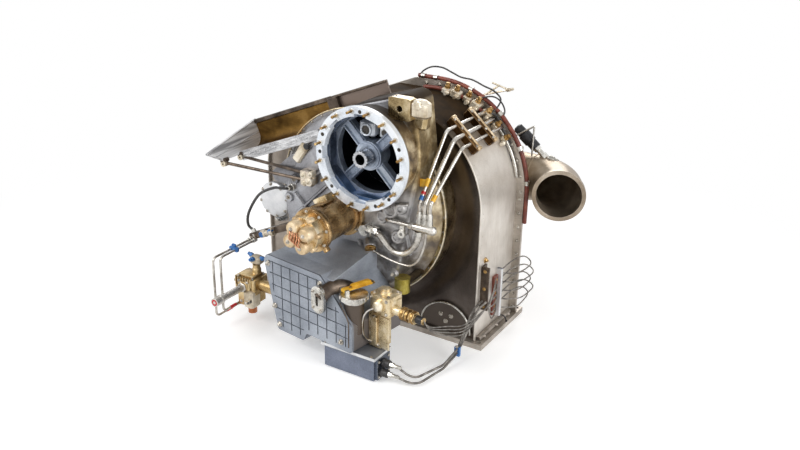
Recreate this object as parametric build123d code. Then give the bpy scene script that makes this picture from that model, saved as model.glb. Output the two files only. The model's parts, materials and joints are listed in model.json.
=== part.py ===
from build123d import *
import math
import os

# A small gas turbine of the auxiliary power unit kind: a gearbox in front carries the generator pad,
# the starter, the oil sump and the fuel control, a sheet-metal arch behind it is the inlet plenum,
# and the hot section with its bleed duct stands behind the arch.
# Millimetres. +X is right seen from the front, +Y runs back along the engine axis, +Z is up.
# The origin is on the resting face, under the engine axis, in the plane of the arch's front edge.

# Shared clearances
fit_gap = 0.3
overcut = 5

# Engine axis and inlet plenum
axis_height = 360
plenum_side_margin = 87
crown_above_rim = 17
plenum_depth = 215
plenum_corner_radius = 255
sheet = 4
front_wall_setback = 24
front_wall_hole_inset = 24
dish_front = 8
dish_inset = 16
dish_width = 62
rear_flange_width = 24
rear_flange_thickness = 8
rear_wall_hole_radius = 150
shoulder_cut_rise = 50
shoulder_cut_flange = 2

# Base plate
base_overhang = 28
base_front_overhang = 14
base_rear_overhang = 43
base_thickness = 16
base_hole_radius = 6.5
base_hole_inset = 14

# Half-moon access cover low on the front wall
cover_side_margin = 94
cover_radius = 78
cover_thickness = 6
cover_lift = 12

# Inlet rim between gearbox and plenum
rim_radius = 268
rim_wall = 16
rim_projection = 30

# Gearbox housing
gearbox_front = 130
gearbox_back = 40
gearbox_inset = 78
gearbox_edge_radius = 10
cone_length = 70
cone_end_inset = 10
foot_inset = 148
foot_drop = 120
foot_radius = 62
mount_lug_inset = 73
mount_lug_above_axis = 326
mount_lug_radius = 30
mount_boss_radius = 24
mount_boss_length = 26
mount_hole_radius = 8
mount_hole_depth = 34

# Generator pad, its adapter ring and the drive
pad_x = 109
pad_above_axis = 192
pad_radius = 132
cavity_radius = 106
cavity_depth = 66
ring_radius = 135
ring_inner_radius = 110
ring_thickness = 18
ring_notch_count = 8
ring_notch_width = 34
ring_notch_depth = 6
ring_stud_circle_radius = 124
ring_stud_count = 16
ring_stud_hole_radius = 4
adapter_length = 70
barrel_radius = 126
barrel_wall = 11.7
spider_rim_radius = 114
spider_rim_width = 12
spider_thickness = 20
spoke_width = 28
spoke_count = 4
spoke_angle = 45
hub_radius = 38
hub_length = 44
hub_back = 12
shaft_radius = 22
shaft_bore_radius = 14
shaft_collar_radius = 30
shaft_collar_length = 8
spline_count = 16
spline_depth = 2
spline_width = 3
spline_length = 28

# Starter
starter_x = 15
starter_above_axis = 8
starter_flange_radius = 62
starter_flange_length = 12
starter_body_radius = 50
starter_body_length = 123
starter_band_radius = 56
starter_band_length = 22
starter_cap_radius = 46
starter_cap_length = 30
starter_nose_radius = 32
starter_nose_length = 20
terminal_block_width = 44
terminal_block_height = 16
terminal_block_length = 40
terminal_block_angle = 30

# Oil sump, turned a little about the vertical
sump_yaw = 8
sump_front = 300
sump_depth = 230
sump_below_axis = 98
sump_bottom = 48
sump_step = 74
sump_left = 150
sump_right = 168
sump_left_foot = 104
sump_step_x = 6
sump_slope_left = 58
sump_slope_right = 118
sump_slope_low = 150
sump_slope_mid = 206
sump_corner_radius = 9
shoulder_left = 134
shoulder_right = 92
shoulder_rise = 40
shoulder_start = 14
shoulder_root = 60
rib_pitch = 33
rib_groove = 3.5
rib_groove_depth = 2.5
rib_margin = 13

# Sight glass on the sump
sight_x = 72
sight_z = 206
sight_half_width = 20
sight_half_height = 34
sight_thickness = 8
sight_standoff = 18
sight_stub_radius = 16
sight_slot_width = 9
sight_slot_height = 34
sight_slot_depth = 4

# Oil filler with its locking lever
filler_x = 146
filler_y = 34
filler_neck_radius = 26
filler_neck_top = 214
filler_neck_root = 120
filler_cap_radius = 36
filler_cap_thickness = 14
lever_length = 88
lever_width = 17
lever_thickness = 5
lever_angle = 76
lever_pivot_x = 126
lever_pivot_y = 20
lever_pin_radius = 5.5
lever_ear_width = 6

# Valve block on the right flank of the sump
valve_y = 66
valve_width = 40
valve_depth = 42
valve_bottom = 76
valve_neck = 174
valve_head_width = 66
valve_head_depth = 58
valve_head_height = 52
valve_port_radius = 12
valve_port_length = 26
valve_port_z = 192
valve_panel_height = 90
valve_panel_width = 26
valve_panel_thickness = 5

# Knurled drain plug and its stub on the gearbox cone
plug_angle = 39
plug_inset = 16
plug_y = 128
plug_radius = 21
plug_height = 42
plug_stub_radius = 11

# Igniter box under the sump
igniter_left = 68
igniter_right = 222
igniter_front = 306
igniter_depth = 66
igniter_clearance = 3
igniter_height = 63
igniter_lip_thickness = 8
igniter_lip_overhang = 7
end_plate_thickness = 10
end_plate_inset = 4
connector_radius = 9
connector_length = 20
connector_upper_z = 48
connector_lower_z = 24
connector_upper_inset = 30
connector_lower_inset = 22

# Igniter leads and their clamp
lead_count = 2
lead_radius = 3.2
lead_start_run = 24
lead_bend = 44
lead_rise = 26
lead_sag_x = 326
lead_sag_z = 8
lead_sag_shift = 12
lead_sag_run = 66
lead_sag_inset = 6
lead_clamp_x = 352
lead_clamp_y = 95
lead_clamp_z = 30
lead_clamp_size = 16
lead_spacing = 11

# Harness bracket on the right wall
bracket_front = 18
bracket_width = 26
bracket_bottom = 108
bracket_top = 236
bracket_reach = 24
bracket_thickness = 5
strip_front = 92
strip_width = 24
strip_bottom = 56
strip_top = 176
strip_thickness = 7

# Fuel control on the left of the sump
control_x = 255
control_y = 214
control_z = 120
control_width = 74
control_depth = 64
control_height = 46
control_base_height = 38
control_base_width = 46
control_neck_radius = 17
fin_count = 6
fin_groove_width = 5
fin_groove_depth = 6
stem_radius = 10
stem_length = 100
stem_cap_radius = 12.5
stem_cap_length = 22
copper_plug_radius = 13
copper_plug_length = 34
fuel_tube_radius = 3.4
fuel_tube_bend = 14
fuel_tube_pitch = 14
fuel_loop_x = 300
fuel_loop_below_axis = 138
fuel_loop_front = 316
fuel_loop_bottom = 42
arm_inset = 40
arm_below_axis = 64
arm_outer_x = 312
arm_height = 22
arm_thickness = 18
hose_radius = 6
hose_bend = 26
hose_inset = 30
hose_above_axis = 44
hose_reach = 34
hose_left = 296

# Air valve with its disc cover, left of the gearbox
disc_inset = 18
disc_below_axis = 30
disc_radius = 38
disc_thickness = 10
disc_front = 100
disc_body_radius = 29
disc_drop_radius = 16
disc_drop_length = 62

# Intake scoop above the gearbox's left shoulder
scoop_tilt = 22
scoop_x = 365
scoop_above_axis = 96
scoop_length = 300
scoop_floor = 100
scoop_wall = 76
scoop_curve_radius = 34
scoop_sheet = 5
end_wall_top = 77
end_wall_nose = 30
end_wall_reach = 230
end_wall_foot = 177
back_panel_length = 190
back_panel_low = 14
back_panel_thickness = 5

# Struts that carry the scoop
strut_radius = 4.5
strut_seat_shares = (3 / 5, 1)
strut_bracket_x = 96
strut_bracket_above_axis = 88
strut_bracket_width = 34
strut_bracket_height = 40
strut_bracket_depth = 26
strut_eye_radius = 8

# Three pipes over the arch's right shoulder, in two clamp bars
pipe_count = 3
pipe_radius = 5
pipe_thick_radius = 6.5
pipe_spacing = 30
pipe_bend = 26
pipe_lift = 14
pipe_fitting_radius = 7.2
pipe_fitting_length = 30
clamp_length = 104
clamp_width = 18
clamp_thickness = 24
clamp_front_y = 34
clamp_rear_y = 128
clamp_angle = 42
pipe_end_inset = 18
pipe_end_pitch = 15
pipe_end_y = 140
manifold_above_axis = 12
manifold_height = 20
manifold_depth = 28
manifold_overhang = 32
manifold_inset = 40

# Oil return pipe on the gearbox front
return_x = 92
return_below_axis = 18
return_boss_radius = 15
return_boss_length = 30
hex_size = 13
hex_sides = 6
hex_end = 38
return_radius = 7
return_bend = 17
return_drop = 42
return_low_start = 72
return_low_end = 122

# Hot section behind the arch
case_radius = 214
case_length = 190
case_flange_radius = 232
case_flange_thickness = 12
case_wall = 10
turbine_radius = 165
turbine_wall = 8
turbine_length = 120
exhaust_radius = 140
exhaust_length = 110
exhaust_wall = 4
exhaust_flange_radius = 156
exhaust_flange_thickness = 8
tail_cone_radius = 70

# Bleed duct on the right
bleed_radius = 66
bleed_wall = 4
bleed_lip = 7
bleed_lip_length = 12
bleed_bend = 112
bleed_turn = 70
bleed_run = 34
bleed_side_margin = 10
bleed_above_axis = 44

# Harness conduit on the rear flange's edge
conduit_radius = 6
conduit_start = 30
conduit_bottom = 300

# Coupling on the valve block's side port
coupling_nut_size = 17
coupling_nut_length = 16
coupling_sleeve_radius = 13
coupling_sleeve_length = 30
coupling_boot_radius = 9
coupling_boot_length = 24

# Silver lip along the scoop's front edge
lip_drop = 22
lip_rise = 6
lip_thickness = 4

# Places that follow from the sizes above
plenum_half_width = rim_radius + plenum_side_margin
plenum_height = axis_height + rim_radius + crown_above_rim
gearbox_radius = rim_radius - gearbox_inset
cone_end_radius = rim_radius - cone_end_inset
foot_x = rim_radius - foot_inset
mount_lug_x = rim_radius - mount_lug_inset
cover_x = plenum_half_width - cover_side_margin
pad_z = axis_height + pad_above_axis
mount_lug_z = axis_height + mount_lug_above_axis
starter_z = axis_height + starter_above_axis
sump_top = axis_height - sump_below_axis
fuel_loop_top = axis_height - fuel_loop_below_axis
plug_x = (rim_radius - plug_inset) * math.cos(math.radians(plug_angle))
plug_z = axis_height - (rim_radius - plug_inset) * math.sin(math.radians(plug_angle))
arm_inner_x = gearbox_radius - arm_inset
arm_inner_z = axis_height - arm_below_axis
hose_x = gearbox_radius - hose_inset
hose_z = axis_height + hose_above_axis
disc_x = rim_radius - disc_inset
disc_z = axis_height - disc_below_axis
scoop_z = axis_height + scoop_above_axis
strut_bracket_z = axis_height + strut_bracket_above_axis
pipe_end_x = rim_radius - pipe_end_inset
manifold_bottom = axis_height + manifold_above_axis
manifold_right = rim_radius + manifold_overhang
manifold_root = gearbox_radius - manifold_inset
return_z = axis_height - return_below_axis
case_front = plenum_depth + rear_flange_thickness
case_back = case_front + case_length
bleed_y = (case_front + case_back) / 2
bleed_z = axis_height + bleed_above_axis
bleed_bend_x = plenum_half_width + bleed_side_margin
front_y = -gearbox_front
pad_face_y = front_y - adapter_length
yaw_turn = Rot(0, 0, -sump_yaw)
sump_frame = Pos(0, -sump_front, 0) * yaw_turn


def prism(sketch, y0, y1):
    """A sketch drawn in X and Z, pushed through from y0 to y1."""
    return extrude(Plane.XZ.offset(-y1) * sketch, amount=y1 - y0)


def rod_y(x, z, radius, y0, y1):
    return prism(Pos(x, z) * Circle(radius), y0, y1)


def tube_y(x, z, outer, inner, y0, y1):
    return prism(Pos(x, z) * (Circle(outer) - Circle(inner)), y0, y1)


def rod_z(x, y, radius, z0, z1):
    return extrude(Pos(x, y, z0) * Circle(radius), amount=z1 - z0)


def rod_x(y, z, radius, x0, x1):
    return extrude(Plane.YZ.offset(x0) * Pos(y, z) * Circle(radius), amount=x1 - x0)


def block(x0, x1, y0, y1, z0, z1):
    """A block between two opposite corners."""
    low = (Align.MIN, Align.MIN, Align.MIN)
    return Pos(x0, y0, z0) * Box(x1 - x0, y1 - y0, z1 - z0, align=low)


def pipe(points, radius, bend):
    """A round bar along straight runs joined by tangent arcs."""
    if len(points) > 2:
        path = FilletPolyline(*points, radius=bend)
    else:
        path = Line(*points)
    section = Plane(origin=path @ 0, z_dir=path % 0) * Circle(radius)
    return sweep(section, path=path)


def save(shape, node):
    export_step(shape, os.path.join("parts", node + ".step"))


def plenum_outline(inset, cut_inset):
    """The arch: flat sides, rounded shoulders and a flat crown, its left shoulder cut along the scoop."""
    width = 2 * (plenum_half_width - inset)
    height = plenum_height - inset - base_thickness
    sketch = Pos(0, base_thickness + height / 2) * Rectangle(width, height)
    shoulders = sketch.vertices().sort_by(Axis.Y)[-2:]
    arch = fillet(shoulders, plenum_corner_radius - inset)
    above = Pos(0, shoulder_cut_rise - cut_inset) * Rectangle(
        2 * plenum_height, plenum_height, align=(Align.CENTER, Align.MIN),
    )
    return arch - Pos(-scoop_x, scoop_z) * Rot(0, 0, scoop_tilt) * above


def base_plate():
    reach = plenum_half_width + base_overhang
    y0 = -base_front_overhang
    y1 = plenum_depth + base_rear_overhang
    plate = block(-reach, reach, y0, y1, 0, base_thickness)
    for x in (-reach + base_hole_inset, reach - base_hole_inset):
        for y in (y0 + base_hole_inset, y1 - base_hole_inset):
            plate -= rod_z(x, y, base_hole_radius, -overcut, base_thickness + overcut)
    return plate


def plenum_wrapper():
    return prism(plenum_outline(0, 0) - plenum_outline(sheet, sheet), 0, plenum_depth)


def plenum_front_wall():
    """Dished sheet: deep round the inlet rim, and curving forward to a flat border at the arch."""
    hole = rim_radius - front_wall_hole_inset
    deep_end = rim_radius + dish_inset
    border = deep_end + dish_width
    far = 2 * plenum_height
    front = [
        Line((hole, front_wall_setback), (deep_end, front_wall_setback)),
        Spline(
            (deep_end, front_wall_setback), (border, dish_front),
            tangents=((1, 0), (1, 0)),
        ),
        Line((border, dish_front), (far, dish_front)),
    ]
    back = [
        Line((far, dish_front), (far, dish_front + sheet)),
        Line((far, dish_front + sheet), (border, dish_front + sheet)),
        Spline(
            (border, dish_front + sheet), (deep_end, front_wall_setback + sheet),
            tangents=((-1, 0), (-1, 0)),
        ),
        Line((deep_end, front_wall_setback + sheet), (hole, front_wall_setback + sheet)),
        Line((hole, front_wall_setback + sheet), (hole, front_wall_setback)),
    ]
    dish = revolve(make_face(front + back), axis=Axis.Y)
    return Pos(0, 0, axis_height) * dish & prism(plenum_outline(sheet, sheet), 0, plenum_depth)


def plenum_rear_wall():
    """The rear wall is a flange that stands out past the wrapper."""
    back = plenum_depth + rear_flange_thickness
    wall = prism(plenum_outline(-rear_flange_width, -shoulder_cut_flange), plenum_depth, back)
    return wall - rod_y(0, axis_height, rear_wall_hole_radius, 0, back + overcut)


def access_cover():
    back = dish_front
    z0 = base_thickness + cover_lift
    cover = rod_y(cover_x, z0, cover_radius, back - cover_thickness, back)
    below = block(-plenum_half_width, plenum_half_width, -plenum_depth, plenum_depth, -cover_radius, z0)
    return cover - below


def inlet_rim():
    return tube_y(0, axis_height, rim_radius, rim_radius - rim_wall, -rim_projection, front_wall_setback)


def gearbox_housing():
    circles = [
        Pos(pad_x, pad_z) * Circle(pad_radius),
        Pos(0, axis_height) * Circle(gearbox_radius),
        Pos(mount_lug_x, mount_lug_z) * Circle(mount_lug_radius),
        Pos(foot_x, axis_height - foot_drop) * Circle(foot_radius),
    ]
    hull = make_hull([edge for circle in circles for edge in circle.edges()])
    body = prism(hull, front_y, -gearbox_back)
    rim = body.faces().sort_by(Axis.Y)[0].outer_wire().edges()
    body = fillet(rim, gearbox_edge_radius)
    cone = Solid.make_cone(gearbox_radius, cone_end_radius, cone_length)
    cone = Pos(0, -rim_projection - cone_length, axis_height) * Rot(-90, 0, 0) * cone
    body += cone
    body -= rod_y(pad_x, pad_z, cavity_radius, front_y - overcut, front_y + cavity_depth)
    body -= rod_y(mount_lug_x, mount_lug_z, mount_hole_radius, front_y - overcut, front_y + mount_hole_depth)
    return body


def mount_boss():
    tip = front_y - mount_boss_length
    return tube_y(mount_lug_x, mount_lug_z, mount_boss_radius, mount_hole_radius, tip, front_y)


def generator_adapter():
    """The bolting ring with its notched inner edge, and the barrel that carries it."""
    ring_back = pad_face_y + ring_thickness
    ring = tube_y(pad_x, pad_z, ring_radius, ring_inner_radius, pad_face_y, ring_back)
    notch_reach = 2 * (ring_inner_radius + ring_notch_depth)
    for i in range(ring_notch_count // 2):
        notch = Pos(pad_x, pad_z) * Rot(0, 0, 360 / ring_notch_count * i) * Rectangle(notch_reach, ring_notch_width)
        ring -= prism(notch, pad_face_y - overcut, ring_back)
    for i in range(ring_stud_count):
        angle = 2 * math.pi * (i + 1 / 2) / ring_stud_count
        x = pad_x + ring_stud_circle_radius * math.cos(angle)
        z = pad_z + ring_stud_circle_radius * math.sin(angle)
        ring -= rod_y(x, z, ring_stud_hole_radius, pad_face_y - overcut, ring_back)
    return ring + tube_y(pad_x, pad_z, barrel_radius, barrel_radius - barrel_wall, ring_back, front_y)


def drive_spider():
    """A rim, four crossed spokes and a hub that carries the drive shaft."""
    face = front_y - spider_thickness
    spokes = Circle(hub_radius)
    for i in range(spoke_count // 2):
        arm = Rectangle(2 * spider_rim_radius - spider_rim_width, spoke_width)
        spokes += Rot(0, 0, spoke_angle + 360 / spoke_count * i) * arm
    plan = spokes + (Circle(spider_rim_radius) - Circle(spider_rim_radius - spider_rim_width))
    spider = prism(Pos(pad_x, pad_z) * plan, face, front_y)
    spider += rod_y(pad_x, pad_z, hub_radius, front_y + hub_back - hub_length, front_y + hub_back)
    return spider - rod_y(pad_x, pad_z, shaft_radius + fit_gap, face - hub_length, front_y + hub_length)


def drive_shaft():
    """A hollow shaft, splined where it comes out of the hub, with a collar behind the hub."""
    hub_end = front_y + hub_back
    collar_front = hub_end + fit_gap
    shaft = rod_y(pad_x, pad_z, shaft_radius, pad_face_y, collar_front + shaft_collar_length)
    for i in range(spline_count):
        groove = Pos(shaft_radius, 0) * Rectangle(2 * spline_depth, spline_width)
        groove = Pos(pad_x, pad_z) * Rot(0, 0, 360 / spline_count * i) * groove
        shaft -= prism(groove, pad_face_y - overcut, pad_face_y + spline_length)
    shaft += rod_y(pad_x, pad_z, shaft_collar_radius, collar_front, collar_front + shaft_collar_length)
    return shaft - rod_y(pad_x, pad_z, shaft_bore_radius, pad_face_y - overcut, front_y + hub_length)


def starter_body():
    flange_y = front_y - starter_flange_length
    body_y = flange_y - starter_body_length
    body = rod_y(starter_x, starter_z, starter_flange_radius, flange_y, front_y)
    body += rod_y(starter_x, starter_z, starter_body_radius, body_y, flange_y)
    body += rod_y(starter_x, starter_z, starter_band_radius, body_y - starter_band_length, body_y)
    return body


def starter_cap():
    y0 = front_y - starter_flange_length - starter_body_length - starter_band_length
    y1 = y0 - starter_cap_length
    cap = rod_y(starter_x, starter_z, starter_cap_radius, y1, y0)
    return cap + rod_y(starter_x, starter_z, starter_nose_radius, y1 - starter_nose_length, y1)


def terminal_block():
    """Terminal block on the starter's left shoulder."""
    y0 = front_y - starter_flange_length - starter_body_length / 2
    reach = starter_body_radius + terminal_block_height
    stock = block(
        -terminal_block_width / 2, terminal_block_width / 2,
        y0, y0 + terminal_block_length, 0, reach,
    )
    stock = Pos(starter_x, 0, starter_z) * Rot(0, -terminal_block_angle, 0) * stock
    return stock - rod_y(starter_x, starter_z, starter_body_radius, front_y - sump_front, front_y)


def sump_outline():
    corners = [
        (-sump_left + sump_corner_radius, sump_top), (-sump_left, sump_top - 2 * sump_corner_radius),
        (-sump_left_foot, sump_bottom), (-sump_step_x, sump_bottom), (sump_step_x, sump_step),
        (sump_right, sump_step), (sump_right, sump_slope_low),
        (sump_slope_right, sump_slope_mid), (sump_slope_left, sump_top),
    ]
    sketch = make_face(Polyline(*corners, close=True))
    return fillet(sketch.vertices(), sump_corner_radius)


def oil_sump():
    """The cast sump: outline, sloping shoulder up to the gearbox, and the grid of grooves in its face."""
    outline = sump_outline()
    body = prism(outline, 0, sump_depth)
    side = [
        (shoulder_start, sump_top - shoulder_root), (sump_depth, sump_top - shoulder_root),
        (sump_depth, sump_top + shoulder_rise), (shoulder_start, sump_top - sump_corner_radius),
    ]
    wedge = make_face(Plane.YZ.offset(-shoulder_left) * Polyline(*side, close=True))
    body += extrude(wedge, amount=shoulder_left + shoulder_right)
    field = offset(outline, -rib_margin)
    grid = Sketch()
    columns = int((sump_left + sump_right) / rib_pitch)
    for i in range(columns + 1):
        grid += Pos(-sump_left + rib_pitch * i, sump_top / 2) * Rectangle(rib_groove, sump_top)
    rows = int((sump_top - sump_bottom) / rib_pitch)
    for i in range(rows + 1):
        grid += Pos(0, sump_bottom + rib_pitch * i) * Rectangle(2 * sump_right, rib_groove)
    body -= prism(grid & field, 0, rib_groove_depth)
    behind = block(-2 * sump_left, 2 * sump_right, front_y, sump_depth, 0, 2 * sump_top)
    return sump_frame * body - behind


def sight_glass(sump):
    """Oval window plate on a stub in front of the sump's face."""
    back = -sight_standoff
    straight = 2 * (sight_half_height - sight_half_width)
    plate = Pos(sight_x, sight_z) * Rot(0, 0, 90) * SlotCenterToCenter(straight, 2 * sight_half_width)
    slot = Pos(sight_x, sight_z) * Rot(0, 0, 90) * SlotOverall(sight_slot_height, sight_slot_width)
    body = prism(plate, back - sight_thickness, back)
    body -= prism(slot, back - sight_thickness - overcut, back - sight_thickness + sight_slot_depth)
    body += rod_y(sight_x, sight_z, sight_stub_radius, back, sump_corner_radius)
    return sump_frame * body - sump


def filler_neck(sump):
    neck = rod_z(filler_x, filler_y, filler_neck_radius, filler_neck_root, filler_neck_top)
    return sump_frame * neck - sump


def lever_frame():
    """Lever along +X from its pin, at the height of the pin's axis."""
    pin_z = filler_neck_top + filler_cap_thickness + lever_pin_radius + fit_gap
    return sump_frame * Pos(lever_pivot_x, lever_pivot_y, pin_z) * Rot(0, 0, lever_angle)


def filler_cap():
    """Round cap with two ears that hold the lever's pin."""
    cap_top = filler_neck_top + filler_cap_thickness
    cap = sump_frame * rod_z(filler_x, filler_y, filler_cap_radius, filler_neck_top, cap_top)
    ear_inner = lever_width / 2 + fit_gap
    ears = Part()
    for side in (-1, 1):
        middle = side * (ear_inner + lever_ear_width / 2)
        ear = Pos(0, middle, 0) * Box(2 * lever_pin_radius, lever_ear_width, 2 * (lever_pin_radius + fit_gap))
        ears += ear
    return cap + lever_frame() * ears


def filler_lever():
    """Flat strip with a rolled end that turns on its pin between the ears."""
    half = lever_width / 2
    strip = block(0, lever_length, -half, half, lever_pin_radius - lever_thickness, lever_pin_radius)
    roll = Rot(90, 0, 0) * Cylinder(lever_pin_radius, lever_width)
    return lever_frame() * (strip + roll)


def valve_block(sump):
    """Tall valve body on the sump's right flank: bar, and a wider head with a side port."""
    x0 = sump_right
    bar = block(x0, x0 + valve_width, valve_y, valve_y + valve_depth, valve_bottom, valve_neck)
    head = block(
        x0, x0 + valve_head_width, valve_y, valve_y + valve_head_depth,
        valve_neck, valve_neck + valve_head_height,
    )
    head = fillet(head.edges().filter_by(Axis.Z), sump_corner_radius)
    port_y = valve_y + valve_depth / 2
    port_x = x0 + valve_head_width
    port = rod_x(port_y, valve_port_z, valve_port_radius, port_x, port_x + valve_port_length)
    panel_z = (valve_bottom + valve_neck - valve_panel_height) / 2
    panel = block(
        x0 + valve_width, x0 + valve_width + valve_panel_width,
        valve_y, valve_y + valve_panel_thickness, panel_z, panel_z + valve_panel_height,
    )
    return sump_frame * (bar + head + port + panel) - sump


def drain_plug(gearbox):
    body = rod_z(plug_x, -plug_y, plug_radius, plug_z - plug_height / 2, plug_z + plug_height / 2)
    stub = rod_y(plug_x, plug_z, plug_stub_radius, -plug_y, -rim_projection)
    return body + stub - gearbox


def igniter_box():
    front = -igniter_front
    body = block(
        igniter_left, igniter_right, front, front + igniter_depth,
        igniter_clearance, igniter_clearance + igniter_height,
    )
    return body


def igniter_lip():
    front = -igniter_front - igniter_lip_overhang
    back = -igniter_front + igniter_depth + igniter_lip_overhang
    top = igniter_clearance + igniter_height
    return block(
        igniter_left - igniter_lip_overhang, igniter_right + igniter_lip_overhang,
        front, back, top, top + igniter_lip_thickness,
    )


def connector_places():
    """Y and Z of the two lead connectors on the igniter box's end plate."""
    return [
        (-igniter_front + connector_upper_inset, connector_upper_z),
        (-igniter_front + connector_lower_inset, connector_lower_z),
    ]


def igniter_end_plate():
    x0 = igniter_right
    plate = block(
        x0, x0 + end_plate_thickness,
        -igniter_front + end_plate_inset, -igniter_front + igniter_depth - end_plate_inset,
        igniter_clearance + end_plate_inset, igniter_clearance + igniter_height,
    )
    x1 = x0 + end_plate_thickness
    for y, z in connector_places():
        plate += rod_x(y, z, connector_radius, x1, x1 + connector_length)
    return plate


def lead_clamp_places():
    """Where the two leads pass through their clamp."""
    return [
        (lead_clamp_x, -lead_clamp_y, lead_clamp_z + lead_spacing / 2),
        (lead_clamp_x, -lead_clamp_y, lead_clamp_z - lead_spacing / 2),
    ]


def igniter_lead(index):
    """Sheathed lead from the igniter box, through the clamp, to the harness bracket."""
    start_x = igniter_right + end_plate_thickness + connector_length
    start_y, start_z = connector_places()[index]
    clamp = lead_clamp_places()[index]
    wall_x = plenum_half_width + bracket_thickness + lead_radius + index * lead_spacing
    end_z = bracket_bottom + lead_rise
    inner = (1 - index) * lead_spacing
    points = [
        (start_x, start_y, start_z),
        (start_x + lead_start_run, start_y, start_z),
        (lead_sag_x - inner, start_y + lead_sag_shift, lead_sag_z + inner),
        (clamp[0] - lead_sag_inset, clamp[1] - lead_sag_run, lead_sag_z + inner),
        clamp,
        (wall_x, bracket_front - 2 * lead_rise, end_z),
        (wall_x, bracket_front, end_z),
    ]
    return pipe(points, lead_radius, lead_bend)


def lead_clamp(leads):
    height = lead_clamp_size + lead_spacing
    body = Pos(lead_clamp_x, -lead_clamp_y, lead_clamp_z) * Box(lead_clamp_size, lead_clamp_size / 2, height)
    return body - leads


def harness_bracket():
    """Angle on the right wall, with a foot against the sheet and a leg that stands out."""
    x0 = plenum_half_width
    foot = block(
        x0, x0 + bracket_thickness, bracket_front, bracket_front + bracket_width, bracket_bottom, bracket_top,
    )
    leg = block(
        x0, x0 + bracket_reach, bracket_front, bracket_front + bracket_thickness, bracket_bottom, bracket_top,
    )
    return foot + leg


def harness_strip():
    x0 = plenum_half_width
    return block(x0, x0 + strip_thickness, strip_front, strip_front + strip_width, strip_bottom, strip_top)


def control_body():
    """Fuel control: ribbed metering head over a narrower base."""
    head = Pos(-control_x, -control_y, control_z) * Box(control_width, control_depth, control_height)
    head = fillet(head.edges().filter_by(Axis.Z), sump_corner_radius)
    pitch = control_width / fin_count
    room = Box(control_width, control_depth - 2 * fin_groove_depth, control_height)
    for i in range(1, fin_count):
        cut = Pos(-control_width / 2 + pitch * i, 0, 0) * Box(fin_groove_width, control_depth, control_height)
        head -= Pos(-control_x, -control_y, control_z) * (cut - room)
    base_z = control_z - control_height / 2 - control_base_height / 2
    base = Pos(-control_x, -control_y, base_z) * Box(control_base_width, control_depth, control_base_height)
    return head + base


def control_neck(sump):
    """Drive neck from the sump's left flank to the fuel control."""
    x0 = -control_x + control_width / 2
    return rod_x(-control_y, control_z, control_neck_radius, x0, 0) - sump


def control_stem():
    y1 = -control_y - control_depth / 2
    y0 = y1 - stem_length
    stem = rod_y(-control_x, control_z, stem_radius, y0, y1)
    return stem + rod_y(-control_x, control_z, stem_cap_radius, y0 - stem_cap_length, y0)


def control_plug():
    z1 = control_z - control_height / 2 - control_base_height
    return rod_z(-control_x, -control_y, copper_plug_radius, z1 - copper_plug_length, z1)


def tube_arm():
    """Bracket arm on the gearbox's front wall that holds the fuel tubes and the hose."""
    y1 = front_y
    y0 = front_y - arm_thickness
    corners = [
        (-arm_inner_x, arm_inner_z - arm_height / 2), (-arm_inner_x, arm_inner_z + arm_height / 2),
        (-arm_outer_x, fuel_loop_top + arm_height / 2), (-arm_outer_x, fuel_loop_top - arm_height / 2),
    ]
    return prism(make_face(Polyline(*corners, close=True)), y0, y1)


def fuel_tubes(plug):
    """Two looped tubes from the bracket arm, forward, down and back to the fuel control."""
    start_y = front_y - arm_thickness
    outer_x = -fuel_loop_x
    outer = [
        (outer_x, start_y, fuel_loop_top),
        (outer_x, -fuel_loop_front, fuel_loop_top),
        (outer_x, -fuel_loop_front, fuel_loop_bottom),
        (outer_x, -control_y, fuel_loop_bottom),
        (-control_x, -control_y, fuel_loop_bottom),
    ]
    inner_x = outer_x + fuel_tube_pitch
    inner_front = -fuel_loop_front + fuel_tube_pitch
    inner_low = fuel_loop_bottom + fuel_tube_pitch
    inner = [
        (inner_x, start_y, fuel_loop_top),
        (inner_x, inner_front, fuel_loop_top),
        (inner_x, inner_front, inner_low),
        (inner_x, -control_y, inner_low),
        (inner_x, -control_y, control_z - control_height / 2),
    ]
    return Compound([
        pipe(outer, fuel_tube_radius, fuel_tube_bend) - plug,
        pipe(inner, fuel_tube_radius, fuel_tube_bend),
    ])


def valve_hose(arm):
    """Braided hose from the gearbox's front wall round the air valve to the bracket arm."""
    y = front_y - hose_reach
    points = [
        (-hose_x, front_y, hose_z),
        (-hose_x, y, hose_z),
        (-disc_x, y, disc_z + disc_radius),
        (-hose_left, y, disc_z - disc_radius),
        (-hose_left, front_y - arm_thickness / 2, fuel_loop_top + 2 * hose_bend),
        (-hose_left, front_y - arm_thickness / 2, fuel_loop_top),
    ]
    return pipe(points, hose_radius, hose_bend) - arm


def air_valve(gearbox):
    """Valve barrel on the inlet rim with a round cover and a drop leg below."""
    barrel = rod_y(-disc_x, disc_z, disc_body_radius, -disc_front + disc_thickness, -rim_projection)
    leg_y = -disc_front + disc_thickness + disc_drop_radius
    leg = rod_z(-disc_x, leg_y, disc_drop_radius, disc_z - disc_drop_length, disc_z)
    return (barrel + leg) - gearbox


def air_valve_cover():
    return rod_y(-disc_x, disc_z, disc_radius, -disc_front, -disc_front + disc_thickness)


def rim_clearance():
    """Round room for the inlet rim in the pieces that stand against the arch's front edge."""
    return rod_y(0, axis_height, rim_radius + fit_gap, -rim_projection - overcut, front_wall_setback)


def scoop_frame():
    """The scoop's frame: its back face lies in the plane of the arch's front edge."""
    return Pos(-scoop_x, -scoop_sheet / 2, scoop_z) * Rot(0, -scoop_tilt, 0)


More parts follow.
